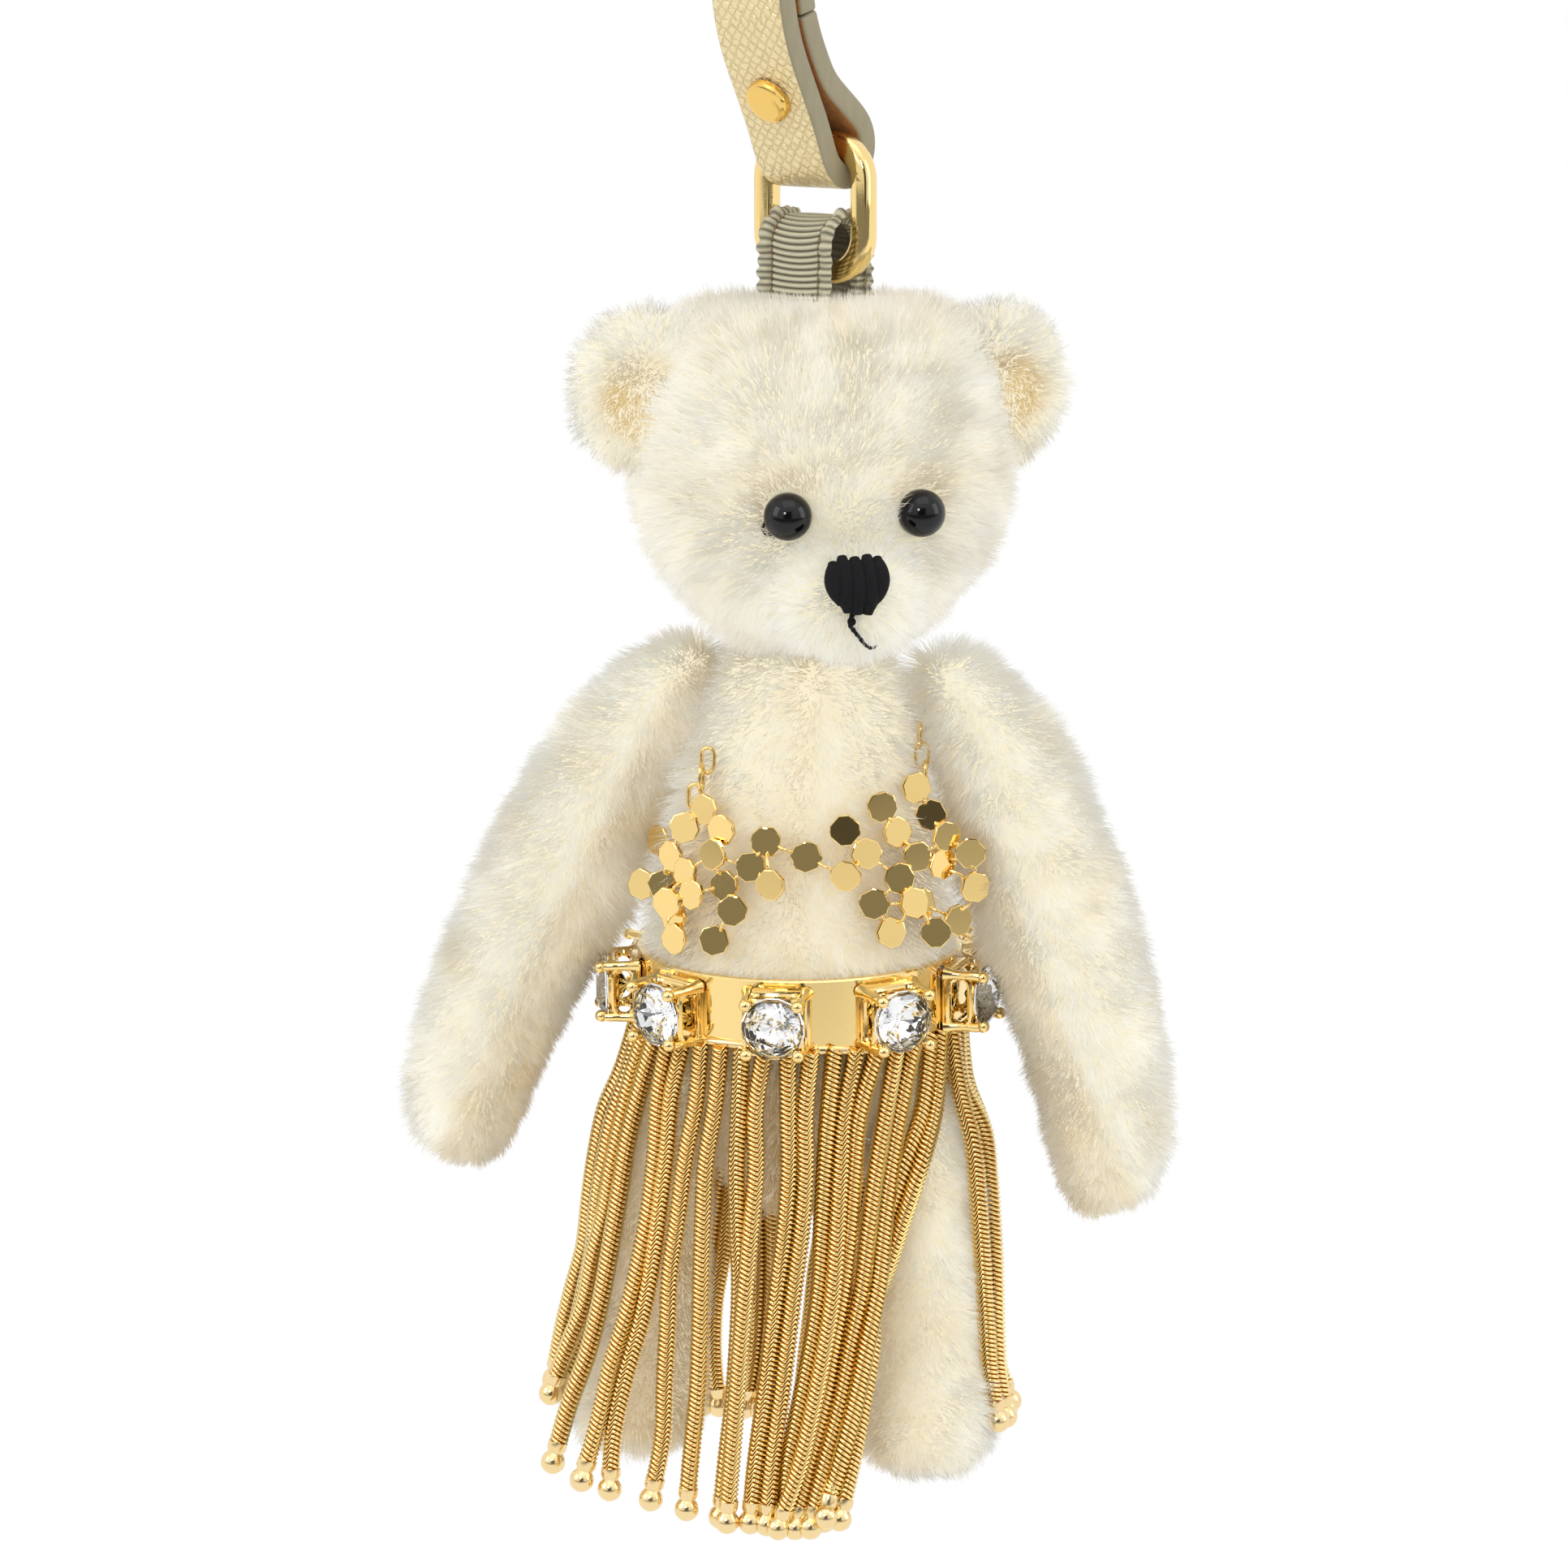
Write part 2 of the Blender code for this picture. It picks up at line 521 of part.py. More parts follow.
def build_body(mats, head):
    plush, board = mats["plush"], (mats["board"], mats["steel"])
    at = frame("joint_neck", NECK, turn=(0, TORSO_ROLL, TORSO_YAW))
    torso = stuffed("torso", torso_stations(), plush, 10, parent=at)
    disc_joint("neck", head, torso, frame("neck_axis", NECK), (0, 0, 0), (0, -90, 0), 5.0, board)
    for side, label in ((1, "left"), (-1, "right")):
        x, y, z = SHOULDER
        tilt = -SHOULDER_TILT * side
        joint = frame(f"joint_arm_{label}", (side * x, y, z), at, (0, tilt, 0))
        arm = stuffed(f"arm_{label}", mirrored(arm_stations(), side), plush, 8, parent=joint)
        disc_joint(f"shoulder_{label}", arm, torso, joint, (0, 0, 0), (0, 0, 90 - 90 * side), 2.4,
                   board, 1.5, 1.7)
        x, y, z = HIP
        joint = frame(f"joint_leg_{label}", (side * x, y, z), at, (0, -1.5 * side, 0))
        leg = stuffed(f"leg_{label}", mirrored(leg_stations(), side), plush, 8, parent=joint)
        disc_joint(f"hip_{label}", leg, torso, joint, (0, 0, 0), (0, 0, 90 - 90 * side), 3.4,
                   board, 1.3, 1.5)
    return at


def on_oval(half, degrees):
    """A point of an upright oval and its outward direction. The angle runs from the front."""
    a = math.radians(degrees)
    point = Vector((half[0] * math.sin(a), -half[1] * math.cos(a), 0))
    out = Vector((point.x / half[0] ** 2, point.y / half[1] ** 2, 0)).normalized()
    return point, out


def build_belt(gold, glass, at):
    """A flat band that carries nine square claw settings, each with its own turned stone."""
    bm = bmesh.new()
    inner, outer = BELT_HALF, [h + BELT_THICK for h in BELT_HALF]
    rings = []
    for i in range(5 * STONES):
        degrees = i * 360 / (5 * STONES)
        (a, _), (b, _) = on_oval(inner, degrees), on_oval(outer, degrees)
        rings.append([bm.verts.new(p + Vector((0, 0, z))) for p, z in
                      ((a, BELT_HEIGHT / 2), (b, BELT_HEIGHT / 2), (b, -BELT_HEIGHT / 2),
                       (a, -BELT_HEIGHT / 2))])
    for i, ring in enumerate(rings):
        after = rings[(i + 1) % len(rings)]
        for j in range(4):
            bm.faces.new((ring[j], ring[(j + 1) % 4], after[(j + 1) % 4], after[j]))
    belt = add("belt_band", bm, gold, parent=at, at=(0, 0, BELT_Z), smooth=False)

    half, corner = SETTING / 2, SETTING / 2 - CLAW_R - 0.02
    for i in range(STONES):
        point, out = on_oval(outer, i * 360 / STONES)
        turn = math.degrees(math.atan2(out.x, -out.y))
        place = dict(parent=at, at=point + Vector((0, 0, BELT_Z - 0.5)), turn=(0, 0, turn))
        cup = box(bmesh.new(), (-half, -2.8, -half), (half, 0.7, half))
        claws = bmesh.new()
        for sx in (-1, 1):
            for sz in (-1, 1):
                rod(claws, (sx * corner, -2.4, sz * corner), (sx * corner, -4.1, sz * corner),
                    CLAW_R, 6)
        pocket = rod(bmesh.new(), (0, -1.0, 0), (0, -4, 0), STONE_R - 0.2, 16)
        window = 2 * (half - 1.1)
        for low, high in (((-half - 1, -2.1, -window / 2), (half + 1, -0.7, window / 2)),
                          ((-window / 2, -2.1, -half - 1), (window / 2, -0.7, half + 1))):
            box(pocket, low, high)
        setting = add(f"setting_{i + 1}", cup, None, cutter=True, smooth=False, **place)
        combine(setting, add(f"claws_{i + 1}", claws, None, cutter=True, **place), "UNION")
        combine(setting, add(f"pocket_{i + 1}", pocket, None, cutter=True, **place), own=True)
        combine(belt, setting, "UNION")
        girdle = 3.15
        stone = [(0, girdle + 0.95), (1.8, girdle + 0.95), (STONE_R, girdle + 0.1),
                 (STONE_R, girdle - 0.1), (0, girdle - 1.95)]
        turned(f"stone_{i + 1}", stone, glass, steps=12, parent=at, at=place["at"],
               turn=(90, 0, turn))


def strand_angles():
    return [(i + 0.5) * 360 / STRANDS for i in range(STRANDS // 2)] + [
        -(i + 0.5) * 360 / STRANDS for i in range(STRANDS // 2)]


def strand_targets(degrees):
    """Where one chain's top sits, where its end hangs and how long it is, in the torso's frame.

    The front chains drift to the bear's right. Those over the left leg gather towards the middle,
    and the ones at the hips stand out over the thighs.
    """
    top = on_oval(STRAND_RING, degrees)[0]
    ripple = math.sin(2.3 * degrees)
    if -57 < degrees < 74:
        split = -2.6
        spread = 0.54 if top.x > split else 1.8
        foot = Vector((-1.9 + spread * (top.x - split), -15.2 - 0.5 * ripple, 0))
        length = 46.2 + 1.4 * ripple
    elif abs(degrees) < 122:
        side = 1 if degrees > 0 else -1
        foot = Vector((21.2 if side > 0 else -22.8, top.y * 0.85, 0))
        length = 37.5 + 1.2 * ripple
    else:
        foot = Vector((top.x * 0.95 - 1.6, STRAND_RING[1] + 1.0, 0))
        length = 44 + 1.0 * ripple
    return top, foot, length


def hang_strands():
    """Chain middle lines as levels of points: kept apart from each other and from both legs."""
    angles = strand_angles()
    tops, feet, lengths = zip(*(strand_targets(d) for d in angles))
    drop = np.linspace(0, 1, LEVELS)
    lie = np.stack([np.array([t.lerp(f, 0.35 * u + 0.65 * u**1.3)[:] for t, f in zip(tops, feet)])
                    for u in drop])
    lie[:, :, 2] = STRAND_TOP - drop[:, None] * np.array(lengths)
    wish = lie.copy()
    group = np.array([[low < d < high for d in angles] for _, low, high in fringe_groups()])
    left_front, right_front = group[0], group[3]
    strangers = ~(group[:, :, None] & group[:, None]).any(axis=0)
    clear = 2 * STRAND_R + 0.22
    for _ in range(400):
        lie[1:, :, :2] += 0.06 * (wish - lie)[1:, :, :2]
        lie[1:-1, :, :2] += 0.2 * (lie[:-2] + lie[2:] - 2 * lie[1:-1])[:, :, :2]
        for level in range(1, LEVELS):
            flat = lie[level, :, :2]
            gap = flat[:, None] - flat[None]
            far = np.linalg.norm(gap, axis=2) + np.eye(len(angles)) * 99
            apart = clear + strangers * (2 * (BALL_R - STRAND_R) + 0.1) * drop[level]
            push = np.clip(apart - far, 0, None)[..., None] * gap / np.maximum(far, 0.05)[..., None]
            flat += 0.5 * push.sum(axis=1)
            divide = -0.2 - 1.9 * drop[level]
            reach = clear / 2
            flat[left_front, 0] = np.maximum(flat[left_front, 0], divide + reach)
            flat[right_front, 0] = np.minimum(flat[right_front, 0], divide - reach)
            for side in (1, -1):
                heights = lie[level, :, 2] - HIP[2]
                rows = np.array([section_at(mirrored(leg_stations(), side), h) for h in heights])
                inside_height = (heights < 6.5) & (heights > -35)
                middle = rows[:, :2] + [side * HIP[0], HIP[1]]
                size = rows[:, 2:] + BALL_R + 0.5
                off = (flat - middle) / size
                near = np.linalg.norm(off, axis=1)
                hit = inside_height & (near < 1)
                flat[hit] = (middle + off / np.maximum(near, 0.2)[:, None] * size)[hit]
    return angles, lie


def fringe_groups():
    return [
        ("fringe_front_left", 0, 74), ("fringe_side_left", 74, 122), ("fringe_back_left", 122, 180),
        ("fringe_front_right", -74, 0), ("fringe_side_right", -122, -74),
        ("fringe_back_right", -180, -122),
    ]


def build_fringe(chain, at):
    """Six groups of chains, each soldered to its own short rail and hinged under the belt."""
    angles, lie = hang_strands()
    for name, low, high in fringe_groups():
        picked = [i for i, d in enumerate(angles) if low < d < high]
        ends = [angles[picked[0]], angles[picked[-1]]]
        spots = [on_oval(STRAND_RING, angles[i])[0] for i in picked]
        across, middle = spots[-1] - spots[0], (spots[0] + spots[-1]) / 2
        out = Vector((across.y, -across.x, 0)).normalized()
        out *= 1 if out.dot(middle) > 0 else -1
        reach = max(spot.dot(out) for spot in spots) + HINGE_OUT
        hinge = middle + out * (reach - middle.dot(out))
        hinge.z = STRAND_TOP - HINGE_DROP
        joint = frame(f"joint_{name}", hinge, at)
        strands = []
        for i in picked:
            points = [(*(Vector(lie[k, i]) - hinge), 1.0) for k in range(LEVELS)]
            x, y, z, _ = points[-1]
            swell = BALL_R / STRAND_R
            points[-1] = (x, y, z + 1.2, 1.0)
            points += [(x, y, z + 0.3, 0.8 * swell), (x, y, z - 0.7, swell),
                       (x, y, z - 1.8, 0.5 * swell)]
            strands.append(points)
        rail = []
        step = 1.6 if ends[1] > 0 else -1.6
        for d in np.linspace(ends[0] - step, ends[1] + step, len(picked) + 1):
            spot = on_oval(STRAND_RING, d)[0] - hinge
            rail.append((spot.x, spot.y, STRAND_TOP - 0.45 - hinge.z, 1.0))
        group = add(name, wire(f"{name}_strands", strands, STRAND_R, 0), chain, parent=joint)
        rail = add(f"{name}_rail", wire(f"{name}_rail", [rail], 0.62, 1), None, parent=joint,
                   cutter=True)
        combine(group, rail, "UNION", own=True)


def torso_surface(x, z, lift):
    """A point lifted off the torso's front, and the outward direction there."""
    cx, cy, half_x, half_y = section_at(torso_stations(), z)
    deep = math.sqrt(max(1 - ((x - cx) / half_x) ** 2, 0.02))
    out = Vector(((x - cx) / half_x**2, -deep / half_y, 0)).normalized()
    return Vector((x, cy - half_y * deep, z)) + out * lift, out


def build_top(gold, at):
    """Two cups of eight-sided plates on a diagonal lattice, joined corner to corner by links."""
    spots = {}
    for side in (-1, 1):
        centre = (CUP_SHIFT + side * CUP_AT[0], CUP_AT[1])
        for i in range(-5, 6):
            for j in range(-5, 6):
                u, v = (i - j) * PLATE_STEP, (i + j) * PLATE_STEP
                if (abs(u) / CUP_HALF[0]) ** 1.4 + (abs(v) / CUP_HALF[1]) ** 1.4 <= 1:
                    spots[side, i, j] = (centre[0] + u, centre[1] + v)
    spots[0, 0, 0] = (CUP_SHIFT, CUP_AT[1] + 0.4)
    plates, links = bmesh.new(), bmesh.new()
    places = {}
    for key, (x, z) in spots.items():
        place, out = torso_surface(x, z, 0.95)
        places[key] = place
        turn = Vector((0, 0, 1)).rotation_difference(out).to_matrix().to_4x4()
        radius = PLATE / 2 / math.cos(math.pi / 8)
        bmesh.ops.create_cone(
            plates, cap_ends=True, segments=8, radius1=radius, radius2=radius, depth=PLATE_THICK,
            matrix=Matrix.Translation(place) @ turn,
        )
    for (side, i, j), place in places.items():
        for other in ((side, i + 1, j), (side, i, j + 1)):
            if other in places and side:
                rod(links, place, places[other], 0.16, 4)
        if side and (i - j) * side == -2 and i + j == 0:
            rod(links, place, places[0, 0, 0], 0.16, 4)
    for side in (-1, 1):
        x, z = CUP_SHIFT + side * CUP_AT[0], CUP_AT[1] + 2 * PLATE_STEP
        climb = [torso_surface(x - side * 0.25 * k, z + 1.4 * k, 1.0)[0] for k in range(5)]
        for a, b in zip(climb, climb[1:]):
            rod(links, a, b + (b - a) * 0.2, 0.3, 4)
    top = add("plate_top", plates, gold, parent=at, smooth=False)
    combine(top, add("plate_links", links, None, parent=at, cutter=True), "UNION", own=True)

    back = []
    for degrees in np.linspace(76, 284, 23):
        _, cy, half_x, half_y = section_at(torso_stations(), CUP_AT[1])
        spot = on_oval((half_x + 0.85, half_y + 0.85), degrees)[0]
        back.append((spot.x, spot.y + cy, CUP_AT[1], 1.0 if len(back) % 2 else 0.55))
    add("back_chain", wire("back_chain", [back], 0.5, 1), gold, parent=at)


def main():
    start_scene()
    gold = material("gold_plate", (0.83, 0.6, 0.25), 0.16, 1.0)
    mats = {
        "plush": material("mohair", (0.86, 0.79, 0.63), 0.95),
        "ribbon": material("grosgrain", (0.44, 0.44, 0.32), 0.8),
        "eye": material("black_bead", (0.01, 0.01, 0.01), 0.06),
        "nose": material("black_thread", (0.015, 0.015, 0.018), 0.75),
        "board": material("fibreboard", (0.35, 0.24, 0.15), 0.85),
        "steel": material("steel_wire", (0.6, 0.6, 0.6), 0.35, 1.0),
    }
    leather = material("gold_leather", (0.78, 0.66, 0.4), 0.45)
    glass = material("clear_stone", (0.95, 0.96, 0.98), 0.03, 0.0, 0.4)
    chain = material("chain_gold", (0.74, 0.52, 0.22), 0.28, 1.0)
    build_hook(gold)
    build_swivel(gold)
    build_strap(leather, gold)
    head = build_head(mats, build_ring(gold))
    at = build_body(mats, head)
    build_belt(gold, glass, at)
    build_fringe(chain, at)
    build_top(gold, at)


main()
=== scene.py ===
# %% [markdown]
# # A plush bear that hangs from a bag strap
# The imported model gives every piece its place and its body. This lesson dresses it: fur, leather,
# ribbon, plated metal, stones and woven chain. Everything below is worked in millimetres in the
# piece's own frame and put in place at the end, because small numbers are easier to read.

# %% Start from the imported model
import json
import math

import bmesh
import bpy
import numpy as np
from mathutils import Euler, Matrix, Vector
from mathutils.kdtree import KDTree


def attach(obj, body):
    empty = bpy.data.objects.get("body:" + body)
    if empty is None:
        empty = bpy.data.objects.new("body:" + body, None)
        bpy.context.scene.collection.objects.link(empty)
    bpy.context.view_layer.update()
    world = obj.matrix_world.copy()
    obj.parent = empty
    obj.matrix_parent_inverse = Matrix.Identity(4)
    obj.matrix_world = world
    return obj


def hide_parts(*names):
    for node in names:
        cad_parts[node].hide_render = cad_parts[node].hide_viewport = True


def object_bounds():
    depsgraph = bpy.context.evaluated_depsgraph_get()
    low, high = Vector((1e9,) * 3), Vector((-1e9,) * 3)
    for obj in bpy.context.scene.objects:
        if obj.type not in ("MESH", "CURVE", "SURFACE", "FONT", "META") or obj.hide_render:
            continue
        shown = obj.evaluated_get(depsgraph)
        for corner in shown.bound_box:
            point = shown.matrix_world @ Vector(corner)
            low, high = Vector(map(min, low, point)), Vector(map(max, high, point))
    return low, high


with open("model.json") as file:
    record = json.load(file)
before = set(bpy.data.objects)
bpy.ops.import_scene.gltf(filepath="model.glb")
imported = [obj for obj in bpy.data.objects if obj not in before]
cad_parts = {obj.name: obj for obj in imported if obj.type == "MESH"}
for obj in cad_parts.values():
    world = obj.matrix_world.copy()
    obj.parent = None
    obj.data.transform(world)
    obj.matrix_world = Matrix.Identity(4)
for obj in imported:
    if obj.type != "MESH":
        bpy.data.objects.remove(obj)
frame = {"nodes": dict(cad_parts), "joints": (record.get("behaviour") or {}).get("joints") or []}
cad_box = [list(corner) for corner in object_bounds()]
MM = 0.001
joint_at = {j["name"]: Vector(j["pos_m"]) / MM for j in frame["joints"]}

# %% [markdown]
# ## Where each piece sits
# A joint's place is known from the model. The turns are the bear's pose: the head looks a little to
# its left, the body turns the other way and leans, and the strap hangs with its width aslant.

# %% Frames of the pieces
def placed(at, turn=(0, 0, 0), within=Matrix.Identity(4)):
    """A frame at a point, turned by degrees about X, Y and Z, inside another frame."""
    return within @ Matrix.LocRotScale(Vector(at), Euler([math.radians(a) for a in turn]), None)


STRAP_YAW = -38  # the strap, the ring and the eye hang with their width aslant
neck = joint_at["neck_turn"]
head_place = placed(neck, (0, 0, 12.5))
torso_place = placed(neck, (0, 2, -9))
strap_place = placed(joint_at["strap_swing"], (0, 0, STRAP_YAW))
ring_place = placed(joint_at["ring_swing"], (0, 0, STRAP_YAW))
ribbon_place = placed(joint_at["bear_swing"], (0, 0, STRAP_YAW))
SIDES = {"left": 1, "right": -1}
SHOULDER, HIP = (10.9, 0, -5.8), (8.3, -0.5, -49.3)
arm_place = {k: placed((SHOULDER[0] * s, *SHOULDER[1:]), (0, -24 * s, 0), torso_place)
             for k, s in SIDES.items()}
leg_place = {k: placed((HIP[0] * s, *HIP[1:]), (0, -1.5 * s, 0), torso_place)
             for k, s in SIDES.items()}

# %% [markdown]
# ## Camera and studio
# A long lens keeps the bear's proportions, and the camera looks slightly down. The backdrop is
# white. The room in front of the bear is darker between its two bright flanks, because polished
# gold shows form only if it has something dark to reflect. The small softbox gives the beads and
# the gold their sharp lights, and is hidden from matt surfaces.

# %% Camera and lamps
def aim(obj, at, towards):
    obj.location = at
    obj.rotation_euler = (Vector(towards) - Vector(at)).to_track_quat("-Z", "Y").to_euler()


scene = bpy.context.scene
scene.view_settings.view_transform = "Standard"
look_at = Vector((2.28, 6.8, -127.3)) * MM
rise, away = math.radians(9.5), 0.6  # the camera's angle above level, and its distance in metres
camera = bpy.data.objects.new("camera", bpy.data.cameras.new("camera"))
scene.collection.objects.link(camera)
camera.data.lens, camera.data.sensor_width = 140, 36
camera.data.clip_start = 0.01
aim(camera, look_at + away * Vector((0, -math.cos(rise), math.sin(rise))), look_at)
scene.camera = camera

BEAR_MIDDLE = (0.004, 0.0, -0.13)
for name, at, size, power in (
    ("softbox_left", (-0.62, -0.30, 0.22), (0.34, 0.5), 1.0),
    ("softbox_right", (0.66, -0.16, 0.12), (0.3, 0.5), 0.8),
    ("softbox_top", (0.05, -0.25, 0.62), (0.7, 0.5), 0.7),
    ("small_softbox", (-0.14, -0.55, 0.14), (0.1, 0.1), 0.6),
):
    lamp = bpy.data.objects.new(name, bpy.data.lights.new(name, "AREA"))
    scene.collection.objects.link(lamp)
    lamp.data.shape = "RECTANGLE"
    lamp.data.size, lamp.data.size_y = size
    lamp.data.energy = power
    aim(lamp, at, BEAR_MIDDLE)
    lamp.visible_diffuse = name != "small_softbox"

# %% Nodes are made with one short call each
def node(tree, kind, sets=(), **links):
    """Adds a node, sets its properties and plugs values or sockets into its inputs by name."""
    made = tree.nodes.new("ShaderNode" + kind)
    for key, value in dict(sets).items():
        setattr(made, key, value)
    for key, value in links.items():
        socket = made.inputs[int(key[1:])] if key[0] == "_" else made.inputs[key.replace("_", " ")]
        if isinstance(value, bpy.types.NodeSocket):
            tree.links.new(value, socket)
        else:
            socket.default_value = value
    return made


def maths(tree, operation, a, b=0.0):
    return node(tree, "Math", {"operation": operation}, _0=a, _1=b).outputs[0]


def vector(tree, operation, a, b):
    return node(tree, "VectorMath", {"operation": operation}, _0=a, _1=b).outputs[0]


def ranged(tree, value, low, high, first=0.0, last=1.0, smooth=False):
    """`first` up to `low` and `last` from `high` on, straight or eased between them."""
    sets = {"interpolation_type": "SMOOTHSTEP"} if smooth else ()
    return node(tree, "MapRange", sets, Value=value, _1=low, _2=high, _3=first, _4=last).outputs[0]


def blend(tree, factor, first, second):
    """Mixes two numbers."""
    return node(tree, "Mix", {"data_type": "FLOAT"}, Factor=factor, _2=first, _3=second).outputs[0]


def blend_colour(tree, factor, first, second):
    """Mixes two colours, each given as a triple or a socket."""
    ends = [v if isinstance(v, bpy.types.NodeSocket) else (*v, 1) for v in (first, second)]
    return node(tree, "Mix", {"data_type": "RGBA"}, _0=factor, _6=ends[0], _7=ends[1]).outputs[2]


def part_of(tree, vector, axis):
    return node(tree, "SeparateXYZ", _0=vector).outputs[axis]


def object_place(tree):
    return node(tree, "TexCoord").outputs["Object"]


def own_map(tree, name="map"):
    return node(tree, "UVMap", {"uv_map": name}).outputs[0]


def rays(tree):
    """What is looking: the camera, and a mirror or a glass."""
    kinds = node(tree, "LightPath").outputs
    return kinds["Is Camera Ray"], maths(tree, "MAXIMUM", kinds["Is Glossy Ray"],
                                         kinds["Is Transmission Ray"])

# %% World
world = bpy.data.worlds.new("studio")
scene.world = world
world.use_nodes = True
tree = world.node_tree
tree.nodes.clear()
camera_ray, mirror_ray = rays(tree)
sky = node(tree, "TexCoord").outputs["Generated"]
height = part_of(tree, sky, "Z")
wall = ranged(tree, height, -0.9, 0.7, 0.45, 1.05)
flank = ranged(tree, maths(tree, "ABSOLUTE", part_of(tree, sky, "X")), 0.2, 0.46, 0.1, 1.1, True)
ceiling = ranged(tree, height, 0.42, 0.6, 0.0, 1.15, True)
room = maths(tree, "MAXIMUM", maths(tree, "MULTIPLY", wall, flank), ceiling)
around = blend(tree, ranged(tree, part_of(tree, sky, "Y"), -0.45, 0.15), room, 1.0)
AMBIENT = 0.86  # the world's strength on matt surfaces
strength = blend(tree, camera_ray, blend(tree, mirror_ray, AMBIENT, around), 1.0)
background = node(tree, "Background", Color=(1, 1, 1, 1), Strength=strength).outputs[0]
node(tree, "OutputWorld", Surface=background)

# %% Materials and the floor
def material(name, colour, roughness, metallic=0.0, **more):
    """A Principled material. Plain values are set on the shader's own sockets."""
    mat = bpy.data.materials.new(name)
    mat.use_nodes = True
    shader = mat.node_tree.nodes["Principled BSDF"]
    more.update(Base_Color=(*colour, 1), Roughness=roughness, Metallic=metallic)
    for key, value in more.items():
        shader.inputs[key.replace("_", " ")].default_value = value
    return mat, mat.node_tree, shader


# The floor is dark in front of the bear, for the mirrors, and white under and behind it.
FLOOR_GLOW, FLOOR_DROP = 1.04, 0.09
floor_mat, tree, shader = material("pale_floor", (0.9, 0.9, 0.9), 0.8)
camera_ray, mirror_ray = rays(tree)
direct = maths(tree, "MAXIMUM", camera_ray, mirror_ray)
sweep = ranged(tree, part_of(tree, object_place(tree), "Y"), -0.6, -0.3, 0.18, FLOOR_GLOW)
strength = blend(tree, camera_ray, sweep, FLOOR_GLOW)
glow = node(tree, "Emission", Color=(1, 1, 1, 1), Strength=strength).outputs[0]
lit = node(tree, "MixShader", _0=0.9, _1=shader.outputs[0], _2=glow).outputs[0]
mixed = node(tree, "MixShader", _0=direct, _1=shader.outputs[0], _2=lit).outputs[0]
tree.links.new(mixed, tree.nodes["Material Output"].inputs["Surface"])


def to_mesh(name, bm):
    """The bmesh as a mesh. The bmesh is freed."""
    mesh = bpy.data.meshes.new(name)
    bm.to_mesh(mesh)
    bm.free()
    return mesh


def linked(name, mesh):
    obj = bpy.data.objects.new(name, mesh)
    scene.collection.objects.link(obj)
    return obj


bm = bmesh.new()
bmesh.ops.create_grid(bm, x_segments=1, y_segments=1, size=3)
bmesh.ops.translate(bm, verts=bm.verts, vec=(0, 0, cad_box[0][2] - FLOOR_DROP))
floor = linked("floor", to_mesh("floor", bm))
floor.data.materials.append(floor_mat)
print("camera", [round(v, 3) for v in camera.location],
      "floor", round(floor.data.vertices[0].co.z, 3))

# %% [markdown]
# ## Effects shared by several finishes
# A node group is a small machine with named inputs and outputs. Each is built once and placed in
# every material that needs it, with that material's own values.

# %% Shared effects
def effect(name, inputs, outputs):
    """A shader node group. Each of its sockets is a float, "f", or a vector, "v"."""
    group = bpy.data.node_groups.new(name, "ShaderNodeTree")
    kinds = {"f": "NodeSocketFloat", "v": "NodeSocketVector"}
    for side, sockets in (("INPUT", inputs), ("OUTPUT", outputs)):
        for label, kind in sockets.items():
            group.interface.new_socket(label, in_out=side, socket_type=kinds[kind])
    return group, group.nodes.new("NodeGroupInput").outputs, group.nodes.new("NodeGroupOutput")


def use(tree, group, **values):
    return node(tree, "Group", {"node_tree": group}, **values).outputs


def bump(tree, shader, height, strength, distance):
    made = node(tree, "Bump", Height=height, Strength=strength, Distance=distance)
    tree.links.new(made.outputs[0], shader.inputs["Normal"])


# Handling marks: cloudy patches and fine scratches that make a polish less even.
handling, inp, out = effect(
    "handling_marks", {"Place": "v", "Size": "f", "Smooth": "f", "Worn": "f"}, {"Roughness": "f"})
cloud = node(handling, "TexNoise", Vector=inp["Place"], Scale=inp["Size"], Detail=3.0).outputs[0]
drawn = vector(handling, "MULTIPLY", inp["Place"], (1, 1, 9))
fine = maths(handling, "MULTIPLY", inp["Size"], 14.0)
scratch = node(handling, "TexNoise", Vector=drawn, Scale=fine, Detail=1.0).outputs[0]
worn = ranged(handling, maths(handling, "MULTIPLY", cloud, scratch), 0.2, 0.45, inp["Smooth"],
              inp["Worn"])
handling.links.new(worn, out.inputs["Roughness"])

# Fibre: a cloth or thread surface, streaked along one direction of a map.
fibre, inp, out = effect(
    "spun_fibre", {"Place": "v", "Size": "f", "Stretch": "v"}, {"Streak": "f", "Height": "f"})
laid = vector(fibre, "MULTIPLY", inp["Place"], inp["Stretch"])
streak = node(fibre, "TexNoise", Vector=laid, Scale=inp["Size"], Detail=4.0,
              Roughness=0.65).outputs[0]
fibre.links.new(streak, out.inputs["Streak"])
fibre.links.new(maths(fibre, "POWER", streak, 1.6), out.inputs["Height"])


def worn_smooth(name, colour, roughness, metallic, smooth, worn, size, **more):
    """A smooth material with handling marks: its roughness wanders from `smooth` to `worn`."""
    mat, tree, shader = material(name, colour, roughness, metallic, **more)
    marks = use(tree, handling, Place=object_place(tree), Size=size, Smooth=smooth, Worn=worn)
    tree.links.new(marks["Roughness"], shader.inputs["Roughness"])
    return mat, tree, shader


